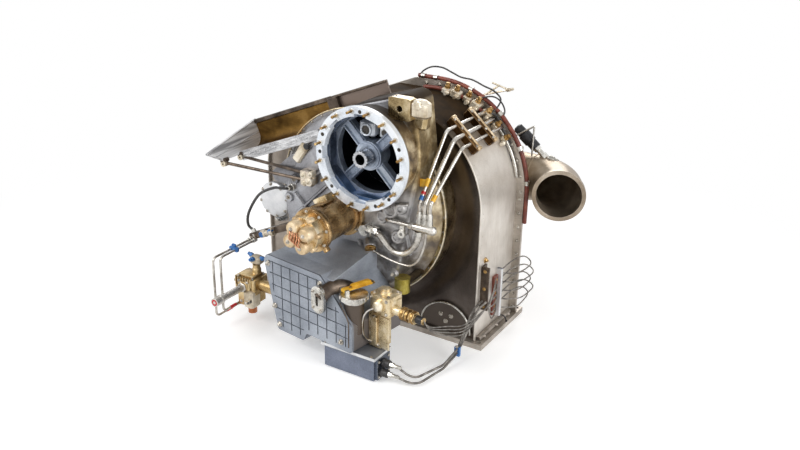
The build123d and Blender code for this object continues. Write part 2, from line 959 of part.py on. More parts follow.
def intake_scoop(gearbox):
    """Bent sheet: a floor, a rounded heel and a back wall against the arch's front edge."""
    bent = FilletPolyline((-scoop_floor, 0), (0, 0), (0, scoop_wall), radius=scoop_curve_radius)
    profile = trace(bent, line_width=scoop_sheet)
    sheet_metal = scoop_frame() * extrude(Plane.YZ * profile, amount=scoop_length)
    return sheet_metal - gearbox - rim_clearance()


def scoop_end_wall():
    """Silver wall that closes the scoop's left end, its nose reaching forward past the lip."""
    low = -scoop_sheet / 2
    corners = [
        (scoop_sheet / 2, low), (scoop_sheet / 2, end_wall_top),
        (-end_wall_reach, end_wall_nose), (-end_wall_foot, low),
    ]
    wall = make_face(Plane.YZ.offset(-scoop_sheet) * Polyline(*corners, close=True))
    return scoop_frame() * extrude(wall, amount=scoop_sheet)


def scoop_back_panel():
    """Dark panel that carries the scoop's back wall on to the right, above the arch's crown."""
    panel = block(
        scoop_length, scoop_length + back_panel_length,
        scoop_sheet / 2 - back_panel_thickness, scoop_sheet / 2, back_panel_low, scoop_wall,
    )
    return scoop_frame() * panel - rim_clearance()


def strut_bracket():
    y1 = front_y
    return block(
        -strut_bracket_x - strut_bracket_width / 2, -strut_bracket_x + strut_bracket_width / 2,
        y1 - strut_bracket_depth, y1,
        strut_bracket_z - strut_bracket_height / 2, strut_bracket_z + strut_bracket_height / 2,
    )


def strut(index):
    """Round strut from the bracket on the gearbox to the underside of the scoop's end wall."""
    start = Vector(
        -strut_bracket_x - strut_bracket_width / 2,
        front_y - strut_bracket_depth / 2,
        strut_bracket_z + (1 - 2 * index) * strut_bracket_height / 4,
    )
    local_y = strut_eye_radius - end_wall_foot * strut_seat_shares[index]
    seat = scoop_frame() * Pos(-scoop_sheet / 2, local_y, -scoop_sheet / 2 - strut_eye_radius)
    bar = pipe([start, seat.position], strut_radius, 0)
    return bar + seat * Cylinder(strut_eye_radius, 2 * strut_eye_radius)


def struts():
    return Compound([strut(i) for i in range(len(strut_seat_shares))]) - strut_bracket()


def clamp_frame(y):
    """A clamp bar's frame on the arch's right shoulder: local Z points out of the sheet."""
    angle = math.radians(clamp_angle)
    centre_x = plenum_half_width - plenum_corner_radius
    centre_z = plenum_height - plenum_corner_radius
    x = centre_x + plenum_corner_radius * math.sin(angle)
    z = centre_z + plenum_corner_radius * math.cos(angle)
    return Pos(x, y, z) * Rot(0, clamp_angle, 0)


def clamp_bar(y, pipes):
    """Bar across the three pipes, its underside cut to the arch and bored for the pipes."""
    bar = Box(clamp_length, clamp_width, clamp_thickness, align=(Align.CENTER, Align.CENTER, Align.MIN))
    bar = clamp_frame(y) * Pos(0, 0, -clamp_thickness / 4) * bar
    return bar - prism(plenum_outline(0, 0), -plenum_depth, plenum_depth) - pipes


def pipe_end(index):
    """Where a shoulder pipe meets its fitting on the manifold."""
    top = manifold_bottom + manifold_height + pipe_fitting_length
    return Vector(pipe_end_x + index * pipe_end_pitch, -pipe_end_y, top)


def shoulder_pipe(index):
    """Pipe that lies in both clamp bars, bends over the arch's front edge and drops to the manifold."""
    radius = pipe_thick_radius if index == 1 else pipe_radius
    side = (index - 1) * pipe_spacing
    rear = (clamp_frame(plenum_depth) * Pos(side, 0, pipe_lift)).position
    front = (clamp_frame(-pipe_bend) * Pos(side, 0, pipe_lift)).position
    end = pipe_end(index)
    top = (end.X, end.Y, end.Z + pipe_bend)
    return pipe([rear, front, top, end], radius, pipe_bend)


def pipe_fittings():
    """Coupling nuts between the shoulder pipes and the manifold."""
    nuts = []
    for i in range(pipe_count):
        end = pipe_end(i)
        nuts.append(rod_z(end.X, end.Y, pipe_fitting_radius, end.Z - pipe_fitting_length, end.Z))
    return Compound(nuts)


def pipe_manifold():
    """Block on the gearbox's front wall that the shoulder pipes and the return pipe run into."""
    return block(
        manifold_root, manifold_right, front_y - manifold_depth, front_y,
        manifold_bottom, manifold_bottom + manifold_height,
    )


def return_fitting():
    """Boss on the gearbox's front wall with a hex nut on its right."""
    boss = rod_y(return_x, return_z, return_boss_radius, front_y - return_boss_length, front_y)
    nut_y = front_y - return_boss_length / 2
    nut = Plane.YZ.offset(return_x) * Pos(nut_y, return_z) * RegularPolygon(hex_size, hex_sides)
    return boss + extrude(nut, amount=hex_end)


def return_pipe():
    """Oil pipe that leaves the hex nut, dips and turns up into the manifold."""
    y = front_y - return_boss_length / 2
    x0 = return_x + hex_end
    low = return_z - return_drop
    points = [
        (x0, y, return_z),
        (x0 + return_bend, y, return_z),
        (return_x + return_low_start, y, low),
        (return_x + return_low_end, y, low),
        (pipe_end_x, y, low + return_drop),
        (pipe_end_x, y, manifold_bottom),
    ]
    return pipe(points, return_radius, return_bend)


def combustor_case():
    """Round drum behind the rear wall, closed at the back, with a bolting flange at each end."""
    y0 = case_front
    y1 = case_back
    case = rod_y(0, axis_height, case_radius, y0, y1)
    case += rod_y(0, axis_height, case_flange_radius, y0, y0 + case_flange_thickness)
    case += rod_y(0, axis_height, case_flange_radius, y1 - case_flange_thickness, y1)
    return case - rod_y(0, axis_height, case_radius - case_wall, y0 - overcut, y1 - case_wall)


def turbine_case():
    """Tapered cup that carries the exhaust duct and the tail cone on its closed end."""
    y0 = case_back
    cup = Solid.make_cone(turbine_radius, exhaust_radius, turbine_length)
    room = Solid.make_cone(
        turbine_radius - turbine_wall, exhaust_radius - turbine_wall, turbine_length - turbine_wall,
    )
    return Pos(0, y0, axis_height) * Rot(-90, 0, 0) * (cup - room)


def exhaust_duct():
    y0 = case_back + turbine_length
    y1 = y0 + exhaust_length
    duct = tube_y(0, axis_height, exhaust_radius, exhaust_radius - exhaust_wall, y0, y1)
    flange = tube_y(
        0, axis_height, exhaust_flange_radius, exhaust_radius - exhaust_wall, y1 - exhaust_flange_thickness, y1,
    )
    return duct + flange


def tail_cone():
    y0 = case_back + turbine_length
    cone = Solid.make_cone(tail_cone_radius, tail_cone_radius / 4, exhaust_length)
    return Pos(0, y0, axis_height) * Rot(-90, 0, 0) * cone


def bleed_duct():
    """Elbow from the combustor case to an open mouth that faces forward on the right."""
    turn = math.radians(bleed_turn)
    lead_in = Line((0, bleed_y, bleed_z), (bleed_bend_x, bleed_y, bleed_z))
    bend_end = (
        bleed_bend_x + bleed_bend * math.sin(turn),
        bleed_y - bleed_bend * (1 - math.cos(turn)),
        bleed_z,
    )
    bend = TangentArc(lead_in @ 1, bend_end, tangent=(1, 0, 0))
    direction = Vector(math.cos(turn), -math.sin(turn), 0)
    run = Line(bend @ 1, bend @ 1 + direction * bleed_run)
    path = Wire([lead_in, bend, run])
    mouth = Plane(origin=path @ 1, z_dir=direction)
    start = Plane.YZ * Pos(bleed_y, bleed_z)
    outer = sweep(start * Circle(bleed_radius), path=path)
    inner = sweep(start * Circle(bleed_radius - bleed_wall), path=path)
    lip = extrude(mouth * Circle(bleed_radius + bleed_lip), amount=-bleed_lip_length)
    bore = extrude(mouth * Circle(bleed_radius - bleed_wall), amount=-bleed_lip_length)
    drum = rod_y(0, axis_height, case_radius, case_front, case_back)
    return (outer + lip) - inner - bore - drum


def harness_conduit():
    """Conduit that lies on the rear flange's edge, over the crown and down the right side."""
    y = plenum_depth + rear_flange_thickness / 2
    reach = rear_flange_width + conduit_radius
    x = plenum_half_width + reach
    z = plenum_height + reach
    points = [(conduit_start, y, z), (x, y, z), (x, y, conduit_bottom)]
    return pipe(points, conduit_radius, plenum_corner_radius + reach)


def valve_coupling():
    """Nut, sleeve, nut and boot in line on the valve block's side port."""
    x0 = sump_right + valve_head_width + valve_port_length
    y = valve_y + valve_depth / 2
    nut = Pos(y, valve_port_z) * RegularPolygon(coupling_nut_size, hex_sides)
    x1 = x0 + coupling_sleeve_length
    body = extrude(Plane.YZ.offset(x0) * nut, amount=coupling_nut_length)
    body += rod_x(y, valve_port_z, coupling_sleeve_radius, x0, x1)
    body += extrude(Plane.YZ.offset(x1) * nut, amount=coupling_nut_length)
    x2 = x1 + coupling_nut_length
    body += rod_x(y, valve_port_z, coupling_boot_radius, x2, x2 + coupling_boot_length)
    return sump_frame * body


def scoop_lip(gearbox):
    """Silver strip along the scoop's front edge, from the end wall to the gearbox."""
    strip = block(
        0, scoop_length, -scoop_floor - lip_thickness, -scoop_floor, -lip_drop, lip_rise,
    )
    return scoop_frame() * strip - gearbox - struts()


def main():
    os.makedirs("parts", exist_ok=True)
    gearbox = gearbox_housing()
    sump = oil_sump()
    arm = tube_arm()
    plug = control_plug()
    leads = [igniter_lead(i) for i in range(lead_count)]
    pipes = [shoulder_pipe(i) for i in range(pipe_count)]
    save(base_plate(), "base_plate")
    save(plenum_wrapper(), "plenum_wrapper")
    save(plenum_front_wall(), "plenum_front_wall")
    save(plenum_rear_wall(), "plenum_rear_wall")
    save(access_cover(), "access_cover")
    save(inlet_rim(), "inlet_rim")
    save(gearbox, "gearbox_housing")
    save(mount_boss(), "mount_boss")
    save(generator_adapter(), "generator_adapter")
    save(drive_spider(), "drive_spider")
    save(drive_shaft(), "drive_shaft")
    save(starter_body(), "starter_body")
    save(starter_cap(), "starter_cap")
    save(terminal_block(), "terminal_block")
    save(sump, "oil_sump")
    save(sight_glass(sump), "sight_glass")
    save(filler_neck(sump), "filler_neck")
    save(filler_cap(), "filler_cap")
    save(filler_lever(), "filler_lever")
    save(valve_block(sump), "valve_block")
    save(drain_plug(gearbox), "drain_plug")
    save(igniter_box(), "igniter_box")
    save(igniter_lip(), "igniter_lip")
    save(igniter_end_plate(), "igniter_end_plate")
    save(Compound(leads), "igniter_leads")
    save(lead_clamp(leads), "lead_clamp")
    save(harness_bracket(), "harness_bracket")
    save(harness_strip(), "harness_strip")
    save(control_body(), "control_body")
    save(control_neck(sump), "control_neck")
    save(control_stem(), "control_stem")
    save(plug, "control_plug")
    save(arm, "tube_arm")
    save(fuel_tubes(plug), "fuel_tubes")
    save(valve_hose(arm), "valve_hose")
    save(air_valve(gearbox), "air_valve")
    save(air_valve_cover(), "air_valve_cover")
    save(intake_scoop(gearbox), "intake_scoop")
    save(scoop_end_wall(), "scoop_end_wall")
    save(scoop_back_panel(), "scoop_back_panel")
    save(strut_bracket(), "strut_bracket")
    save(struts(), "struts")
    save(Compound([clamp_bar(y, pipes) for y in (clamp_front_y, clamp_rear_y)]), "clamp_bars")
    save(Compound(pipes), "shoulder_pipes")
    save(pipe_fittings(), "pipe_fittings")
    save(pipe_manifold(), "pipe_manifold")
    save(return_fitting(), "return_fitting")
    save(return_pipe(), "return_pipe")
    save(combustor_case(), "combustor_case")
    save(turbine_case(), "turbine_case")
    save(exhaust_duct(), "exhaust_duct")
    save(tail_cone(), "tail_cone")
    save(bleed_duct(), "bleed_duct")
    save(harness_conduit(), "harness_conduit")
    save(valve_coupling(), "valve_coupling")
    save(scoop_lip(gearbox), "scoop_lip")


main()
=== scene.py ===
import json
import math

import bmesh
import bpy
from mathutils import Matrix, Vector


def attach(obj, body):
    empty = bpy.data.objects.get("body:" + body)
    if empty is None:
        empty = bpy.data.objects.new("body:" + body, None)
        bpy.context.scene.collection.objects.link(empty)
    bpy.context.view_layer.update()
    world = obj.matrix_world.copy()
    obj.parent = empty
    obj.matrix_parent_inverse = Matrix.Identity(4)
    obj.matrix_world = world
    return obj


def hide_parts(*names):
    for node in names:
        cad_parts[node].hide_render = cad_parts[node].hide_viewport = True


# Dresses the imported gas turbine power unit: surface finishes, small fittings, camera and studio light.
# Lengths in the piece code are millimetres in the part's frame, and Blender gets metres.

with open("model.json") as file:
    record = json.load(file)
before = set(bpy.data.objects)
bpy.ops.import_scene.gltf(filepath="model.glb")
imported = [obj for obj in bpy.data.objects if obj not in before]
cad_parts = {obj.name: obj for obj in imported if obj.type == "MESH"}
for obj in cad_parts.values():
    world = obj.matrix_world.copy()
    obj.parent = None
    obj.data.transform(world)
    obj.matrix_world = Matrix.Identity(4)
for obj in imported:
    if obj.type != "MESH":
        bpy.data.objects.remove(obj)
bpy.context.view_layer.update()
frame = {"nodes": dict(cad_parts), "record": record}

MM = 0.001
BODY = "unit"
SHARP = math.radians(38)

# Places that the CAD model fixes
AXIS_Z = 360
PAD = Vector((109, -200, 552))
FRONT = -130
STARTER = Vector((15, 0, 368))
HALF_WIDTH = 355
CROWN_Z = 645
CORNER = 255
SHOULDER_X = HALF_WIDTH - CORNER
SHOULDER_Z = CROWN_Z - CORNER
DEPTH = 215
AIR_VALVE = Vector((-242, -111, 342))
PIPE_XS = (250, 265, 280)
STRUT_YS = (-98, -169)
CLAMP_YS = (34, 128)
CONDUIT_Y = 219
SIGHT_GLASS = (72, 206)
SUMP_YAW = math.radians(8)
SCOOP_TILT = math.radians(22)
CLAMP_TILT = math.radians(42)
LEVER_YAW = math.radians(68)

# Directions
TOWARDS = Vector((0, -1, 0))
BACKWARDS = Vector((0, 1, 0))
RIGHT = Vector((1, 0, 0))
UP = Vector((0, 0, 1))

# Repeated fittings: ring holes without a stud, points of a starter wire, ends of the casting's ribs
RING_STUDS = 16
OPEN_HOLES = (1, 4, 7, 8, 10, 13, 14)
STARTER_WIRE = ((-3, -344, 18), (3, -353, 6), (0, -353, -8), (5, -342, -22))
CASTING_RIBS = (
    (-12, 506, -118, 424), (2, 474, -146, 330), (-60, 300, -150, 392), (60, 300, 118, 214),
    (150, 436, 178, 400), (128, 408, 214, 434), (212, 352, 224, 296),
)
CASTING_BOSSES = (
    (-150, 430), (-172, 372), (-160, 300), (-128, 248), (-60, 196), (0, 184), (166, 300), (120, 196), (170, 226),
)

# Fittings round the right shoulder: angle from the crown, Y and size
ARCH_FITTINGS = (
    (8, 196, (26, 30, 16)), (15, 188, (30, 26, 22)), (22, 200, (24, 28, 18)), (29, 192, (28, 34, 24)),
    (37, 200, (30, 26, 20)), (46, 196, (22, 24, 16)), (55, 200, (18, 20, 14)),
)

# Camera fitted to the photograph, and lamps: name, place, aim, size and power
CAMERA_PLACE = (1.2988, -1.9661, 1.2725)
CAMERA_ANGLES = (31.2, 22.8, 1.0)
CAMERA_LENS = 40.5
LAMPS = (
    ("key", (-1.3, -2.3, 2.3), (0, -0.1, 0.35), (1.5, 1.2), 46),
    ("side", (2.6, -0.6, 1.3), (0.2, 0.1, 0.35), (1.2, 1.6), 34),
    ("back", (-0.8, 2.4, 1.8), (0, 0.2, 0.4), (1.6, 1.2), 34),
)
SENSOR_WIDTH = 36
WHITE = (1, 1, 1, 1)
SKY_HEIGHTS, SKY_STRENGTHS = (0.25, 0.9), (0.68, 0.18)
FLOOR_HALF, FLOOR_GLOW, FLOOR_FADE = 9, 0.36, (0.7, 1.7)

# Surfaces: where the three tones lie on the noise, how strongly the grain shows and how deep the bump is
TONE_STOPS = (0.34, 0.5, 0.66)
GRAIN_SHARE = 0.6
BUMP_DEPTH = 0.0008


def srgb(red, green, blue):
    """Linear colour of a screen colour."""
    def channel(value):
        value /= 255
        return value / 12.92 if value <= 0.04045 else ((value + 0.055) / 1.055) ** 2.4
    return (channel(red), channel(green), channel(blue), 1.0)


class Shade:
    """The node tree of a procedural material or of the world."""

    def __init__(self, owner):
        self.owner = owner
        owner.use_nodes = True
        self.tree = owner.node_tree
        self.tree.nodes.clear()
        self.spots = self.add("ShaderNodeTexCoord").outputs
        self.place = self.spots["Object"]
        self.x, self.y, self.z = self.add("ShaderNodeSeparateXYZ", {0: self.place}).outputs
        self.dull = None

    def feed(self, socket, value):
        if isinstance(value, bpy.types.NodeSocket):
            self.tree.links.new(value, socket)
        else:
            socket.default_value = value

    def add(self, kind, inputs=None, **settings):
        node = self.tree.nodes.new(kind)
        for key, value in settings.items():
            setattr(node, key, value)
        for key, value in (inputs or {}).items():
            self.feed(node.inputs[key], value)
        return node

    def moved(self, **inputs):
        """The place, scaled or turned."""
        return self.add("ShaderNodeMapping", {"Vector": self.place, **inputs}).outputs[0]

    def noise(self, scale, detail=5, stretch=(1, 1, 1)):
        inputs = {"Vector": self.moved(Scale=stretch), "Scale": scale, "Detail": detail, "Roughness": 0.6}
        return self.add("ShaderNodeTexNoise", inputs).outputs["Fac"]

    def ramp(self, factor, stops):
        node = self.add("ShaderNodeValToRGB", {"Fac": factor})
        elements = node.color_ramp.elements
        elements.remove(elements[1])
        elements[0].position, elements[0].color = stops[0]
        for position, colour in stops[1:]:
            elements.new(position).color = colour
        return node.outputs["Color"]

    def mix(self, factor, first, second, blend="MIX"):
        inputs = {0: factor, 6: first, 7: second}
        return self.add("ShaderNodeMix", inputs, data_type="RGBA", blend_type=blend).outputs[2]

    def tones(self, scale, *stops):
        """Cloudy colours: each stop is its place on the noise and a screen colour."""
        return self.shades(self.noise(scale), *stops)

    def shades(self, factor, *stops):
        return self.ramp(factor, [(place, srgb(*colour)) for place, *colour in stops])

    def math(self, operation, first, second):
        return self.add("ShaderNodeMath", {0: first, 1: second}, operation=operation).outputs[0]

    def plus(self, first, second):
        return self.math("ADD", first, second)

    def minus(self, first, second):
        return self.math("SUBTRACT", first, second)

    def times(self, first, *others):
        for other in others:
            first = self.math("MULTIPLY", first, other)
        return first

    def most(self, first, second):
        return self.math("MAXIMUM", first, second)

    def reach(self, x, z):
        """Squared distance from an axis along Y."""
        dx, dz = self.minus(self.x, x), self.minus(self.z, z)
        return self.plus(self.times(dx, dx), self.times(dz, dz))

    def upward(self):
        """How far the surface faces up."""
        normal = self.add("ShaderNodeNewGeometry").outputs["Normal"]
        return self.add("ShaderNodeSeparateXYZ", {0: normal}).outputs["Z"]

    def span(self, value, low, high, out_low=0.0, out_high=1.0):
        inputs = {0: value, 1: low, 2: high, 3: out_low, 4: out_high}
        return self.add("ShaderNodeMapRange", inputs, interpolation_type="SMOOTHSTEP").outputs[0]

    def zone(self, **limits):
        """A mask with soft limits along the axes, in metres."""
        return self.times(*(self.span(getattr(self, axis), *limit) for axis, limit in limits.items()))

    def edges(self, radius):
        """Rounded normal, and a mask that is 1 along the edges."""
        rounded = self.add("ShaderNodeBevel", {"Radius": radius}, samples=4).outputs[0]
        plain = self.add("ShaderNodeNewGeometry").outputs["Normal"]
        inputs = {0: rounded, 1: plain}
        cosine = self.add("ShaderNodeVectorMath", inputs, operation="DOT_PRODUCT").outputs["Value"]
        return rounded, self.span(cosine, 0.985, 0.80)


def finish(name, dark, mid, light, metallic=1.0, rough=(0.3, 0.5), mottle=14.0, grain=500.0,
           stretch=(1, 1, 1), bump=0.15, edge=1.0, wear=None, wear_amount=0.7, adjust=None, relief=None):
    """A metal or painted surface: cloudy colour, fine grain, rounded edges and wear along them."""
    shade = Shade(bpy.data.materials.new(name))
    cloud = shade.noise(mottle, 6)
    colour = shade.shades(cloud, *((stop, *tone) for stop, tone in zip(TONE_STOPS, (dark, mid, light))))
    fine = shade.noise(grain, 3, stretch)
    speck = shade.ramp(fine, [(0.3, (0.35, 0.35, 0.35, 1)), (0.7, (0.65, 0.65, 0.65, 1))])
    colour = shade.mix(GRAIN_SHARE, colour, speck, "OVERLAY")
    if adjust:
        colour = adjust(shade, colour)
    normal, worn = shade.edges(edge * MM)
    if wear:
        patches = shade.span(shade.noise(90.0, 4), 0.35, 0.6, 0.25, wear_amount)
        colour = shade.mix(shade.times(worn, patches), colour, srgb(*wear))
    height = relief(shade, fine) if relief else fine
    inputs = {"Height": height, "Strength": bump, "Distance": BUMP_DEPTH, "Normal": normal}
    bumped = shade.add("ShaderNodeBump", inputs).outputs[0]
    shine = shade.plus(shade.times(cloud, 0.5), shade.times(fine, 0.5))
    roughness = shade.span(shine, 0.38, 0.62, rough[0], rough[1])
    gloss = 0.5
    if shade.dull:
        metallic = shade.span(shade.dull, 0.0, 1.0, metallic, 0.05)
        roughness = shade.most(roughness, shade.times(shade.dull, 0.85))
        gloss = shade.span(shade.dull, 0.0, 1.0, 0.5, 0.06)
    surface = shade.add("ShaderNodeBsdfPrincipled", {
        "Base Color": colour, "Metallic": metallic, "Roughness": roughness, "Normal": bumped,
        "Specular IOR Level": gloss,
    })
    shade.add("ShaderNodeOutputMaterial", {"Surface": surface.outputs[0]})
    return shade.owner


def crown_shade_and_streaks(shade, colour):
    """The sheet is painted brown and dull over the crown as shade, and clean down the sides, with faint streaks."""
    rise = shade.plus(shade.z, shade.times(shade.noise(9.0), 0.05))
    rise = shade.minus(rise, shade.times(shade.zone(x=(0.0, -0.2)), 0.06))
    # Painted shade: the crown is dark brown and dull.
    painted_crown_shade = shade.tones(30.0, (0.3, 26, 16, 6), (0.7, 58, 40, 19))
    shade.dull = shade.span(rise, 0.585, 0.64, 0.0, 0.97)
    straw = shade.span(rise, 0.52, 0.60, 0.0, 0.5)
    colour = shade.mix(straw, colour, srgb(150, 122, 80))
    runs = shade.span(shade.noise(60.0, 4, (1, 1, 0.06)), 0.5, 0.75, 0.0, 0.12)
    return shade.mix(shade.dull, shade.mix(runs, colour, srgb(150, 134, 118)), painted_crown_shade)


def housing_tint_and_shade(shade, colour):
    """Gold coat on the right flank and the cone, and painted shade: a dark top, brown low down and black in the gear
    room behind the spider.
    """
    side = shade.plus(shade.x, shade.times(shade.noise(12.0), 0.06))
    gold = shade.tones(22.0, (0.35, 80, 64, 42), (0.52, 142, 122, 86), (0.68, 206, 190, 156))
    flank = shade.times(shade.span(side, 0.20, 0.26), shade.zone(z=(0.40, 0.50)))
    cone = shade.zone(y=(-0.085, -0.05), x=(-0.02, 0.10, 0.0, 0.85))
    colour = shade.mix(shade.most(flank, cone), colour, gold)
    # Painted highlights and shade as a mottle on the casting below the ring.
    cloud = shade.noise(24.0, 4)
    painted_light_mottle = shade.shades(cloud, (0.36, 74, 64, 54), (0.48, 150, 147, 144), (0.62, 216, 214, 212))
    corner = shade.zone(x=(0.05, 0.11), z=(0.50, 0.44, 0.0, 0.65))
    colour = shade.mix(shade.times(corner, shade.zone(x=(0.24, 0.20))), colour, painted_light_mottle)
    # Painted brown shade, patchy, low on the housing.
    low = shade.times(shade.zone(z=(0.34, 0.20)), shade.span(shade.noise(16.0), 0.40, 0.60, 0.1, 0.7))
    colour = shade.mix(low, colour, srgb(96, 82, 66))
    neck = shade.zone(y=(-0.225, -0.235), z=(0.215, 0.213))
    colour = shade.mix(neck, colour, srgb(92, 82, 74))
    # Painted black shade in the gear room behind the spider.
    reach = shade.reach(0.109, 0.552)
    inside = shade.times(shade.span(reach, 0.01160, 0.01145), shade.zone(y=(-0.1303, -0.1285)))
    # Painted dark shade on the upward faces of the top.
    up = shade.span(shade.upward(), 0.3, 0.6)
    top = shade.times(up, shade.zone(z=(0.57, 0.61, 0.0, 0.9)), shade.zone(x=(0.30, 0.27)))
    shade.dull = shade.most(inside, top)
    colour = shade.mix(top, colour, srgb(46, 36, 27))
    return shade.mix(inside, colour, srgb(12, 13, 17))


def groove_shade(shade, colour):
    """The grooves in the sump's face are painted darker as shade, and its right side is browner."""
    back = shade.plus(shade.y, 0.3)
    sine, cosine = math.sin(SUMP_YAW), math.cos(SUMP_YAW)
    depth = shade.plus(shade.times(shade.x, sine), shade.times(back, cosine))
    across = shade.minus(shade.times(shade.x, cosine), shade.times(back, sine))
    # Painted shade in the grooves.
    sunk = shade.times(shade.span(depth, 0.0004, 0.0012), shade.span(depth, 0.0060, 0.0040))
    groove = shade.times(sunk, shade.span(across, 0.1665, 0.160), 0.85)
    colour = shade.mix(groove, colour, srgb(66, 72, 82))
    brown = shade.times(shade.span(across, 0.155, 0.167), shade.span(depth, 0.004, 0.012, 0.0, 0.8))
    return shade.mix(brown, colour, srgb(104, 92, 82))


def heat_tint(shade, colour):
    """Straw and brown heat colours in soft bands."""
    bands = shade.noise(7.0, 3, (1, 2.2, 1))
    tint = shade.shades(bands, (0.35, 120, 106, 90), (0.5, 158, 142, 122), (0.65, 140, 112, 82))
    colour = shade.mix(shade.zone(x=(0.2, 0.3, 0.4, 0.12)), colour, tint)
    brown = shade.tones(16.0, (0.35, 104, 84, 58), (0.5, 140, 118, 88), (0.65, 170, 152, 128))
    duct = shade.times(shade.zone(x=(0.20, 0.24)), shade.zone(x=(0.54, 0.30, 0.25, 0.8)))
    return shade.mix(duct, colour, brown)


def brushed(shade, colour):
    """Bare sheet, brushed along the scoop, with a painted bright sheen and streaks on the end wall."""
    spot = shade.moved(Vector=shade.moved(Rotation=(0, SCOOP_TILT, 0)), Scale=(0.14, 1, 1))
    inputs = {"Vector": spot, "Scale": 210.0, "Detail": 4.0, "Roughness": 0.7}
    streak = shade.add("ShaderNodeTexNoise", inputs).outputs["Fac"]
    lines = shade.shades(streak, (0.34, 112, 112, 115), (0.5, 190, 190, 192), (0.66, 236, 236, 236))
    colour = shade.mix(0.7, colour, lines)
    along = shade.plus(shade.times(shade.plus(shade.x, 0.365), math.cos(SCOOP_TILT)),
                       shade.times(shade.minus(shade.z, 0.456), math.sin(SCOOP_TILT)))
    # The end wall gets a painted bright sheen and is made dull.
    wall = shade.span(along, 0.004, 0.001)
    grain = shade.noise(70.0, 3, (1, 0.05, 1))
    painted_sheen = shade.shades(grain, (0.36, 150, 150, 152), (0.5, 224, 224, 225), (0.64, 250, 250, 250))
    shade.dull = shade.times(wall, 0.6)
    return shade.mix(wall, colour, painted_sheen)


def front_light(shade, colour):
    """The front sheet is painted pale as light on the left, behind the scoop's struts, and dark as shade deep in the
    dish, and the back panel is half as pale.
    """
    pale = shade.tones(14.0, (0.3, 128, 118, 108), (0.7, 172, 162, 152))
    colour = shade.mix(shade.zone(x=(-0.05, -0.20), y=(-0.001, 0.001)), colour, pale)
    # Painted shade deep in the dish.
    painted_dish_shade = shade.zone(x=(0.05, 0.15), z=(0.28, 0.55, 0.1, 0.8))
    colour = shade.mix(painted_dish_shade, colour, srgb(42, 34, 29))
    panel = shade.zone(z=(0.56, 0.575), y=(0.001, -0.001))
    return shade.mix(panel, colour, srgb(122, 108, 99))


def grey_left(shade, colour):
    """The gilding fades to plain metal on the left."""
    return shade.mix(shade.zone(x=(0.02, -0.12)), colour, srgb(140, 138, 138))


def steel_stem(shade, colour):
    """The control's stem is plain steel with a red ring on its end."""
    stem = shade.zone(y=(-0.252, -0.254), x=(-0.2, -0.22))
    colour = shade.mix(stem, colour, srgb(198, 194, 188))
    reach = shade.reach(-0.255, 0.12)
    ring = shade.times(shade.span(reach, 0.000016, 0.000024), shade.span(reach, 0.00009, 0.00008))
    return shade.mix(shade.times(ring, shade.zone(y=(-0.3672, -0.3678))), colour, srgb(186, 40, 46))


def pale_bracket(shade, colour):
    """The strut bracket on the gearbox is a pale casting."""
    across = shade.times(shade.zone(x=(-0.114, -0.1128)), shade.zone(x=(-0.07, -0.078)))
    near = shade.times(across, shade.zone(y=(-0.126, -0.129)), shade.zone(z=(0.42, 0.425)))
    return shade.mix(near, colour, srgb(206, 194, 178))


def plug_stub(shade, colour):
    """Only the knurled plug is olive, its stub is dark."""
    return shade.mix(shade.zone(y=(-0.1075, -0.1055)), colour, srgb(84, 74, 60))


def lip_top(shade, colour):
    """The lip's upper face is painted dark as shade under the sump."""
    return shade.mix(shade.span(shade.upward(), 0.5, 0.9, 0.0, 0.85), colour, srgb(84, 90, 102))


def blue_floor(shade, colour):
    """Blue light gathers low in the ring."""
    return shade.mix(shade.zone(z=(0.50, 0.45, 0.0, 0.55)), colour, srgb(66, 104, 150))


def barrel_tint_and_shade(shade, colour):
    """The barrel behind the bolting ring is a gold and brown casting on its right, and painted dark as shade on top.
    """
    behind = shade.zone(y=(-0.187, -0.184))
    # Painted shade over the barrel's top.
    top = shade.times(behind, shade.zone(z=(0.61, 0.66, 0.0, 0.9)))
    shade.dull = top
    cast = shade.tones(26.0, (0.34, 66, 52, 36), (0.5, 124, 104, 74), (0.66, 190, 172, 138))
    colour = shade.mix(shade.times(behind, shade.zone(x=(0.10, 0.20))), colour, cast)
    return shade.mix(top, colour, srgb(58, 46, 34))


def end_plate(shade, colour):
    """The igniter box's end plate is painted as dark as the box."""
    across = shade.times(shade.zone(x=(0.2215, 0.2225)), shade.zone(x=(0.2335, 0.2325)))
    near = shade.times(across, shade.zone(y=(-0.236, -0.238)), shade.zone(z=(0.082, 0.078)))
    return shade.mix(near, colour, srgb(84, 90, 102))


def cover_shade(shade, colour):
    """The access cover is as dark as the sheet that it closes."""
    cover = shade.zone(y=(0.009, 0.0085), z=(0.0165, 0.018))
    return shade.mix(cover, colour, srgb(92, 83, 76))


def braid(shade, fine):
    """Woven wire sheath."""
    waves = []
    for spot in (shade.place, shade.moved(Rotation=(1.2, 0.7, 1.6))):
        inputs = {"Vector": spot, "Scale": 420.0, "Distortion": 0.6}
        waves.append(shade.add("ShaderNodeTexWave", inputs, bands_direction="DIAGONAL").outputs["Fac"])
    return shade.most(*waves)


def knurl(shade, fine):
    """Crossed fine grooves."""
    waves = []
    for turn in (0.6, -0.6):
        inputs = {"Vector": shade.moved(Rotation=(turn, turn, 0)), "Scale": 230.0}
        waves.append(shade.add("ShaderNodeTexWave", inputs).outputs["Fac"])
    return shade.times(*waves)


def row(*values, **settings):
    return values, settings


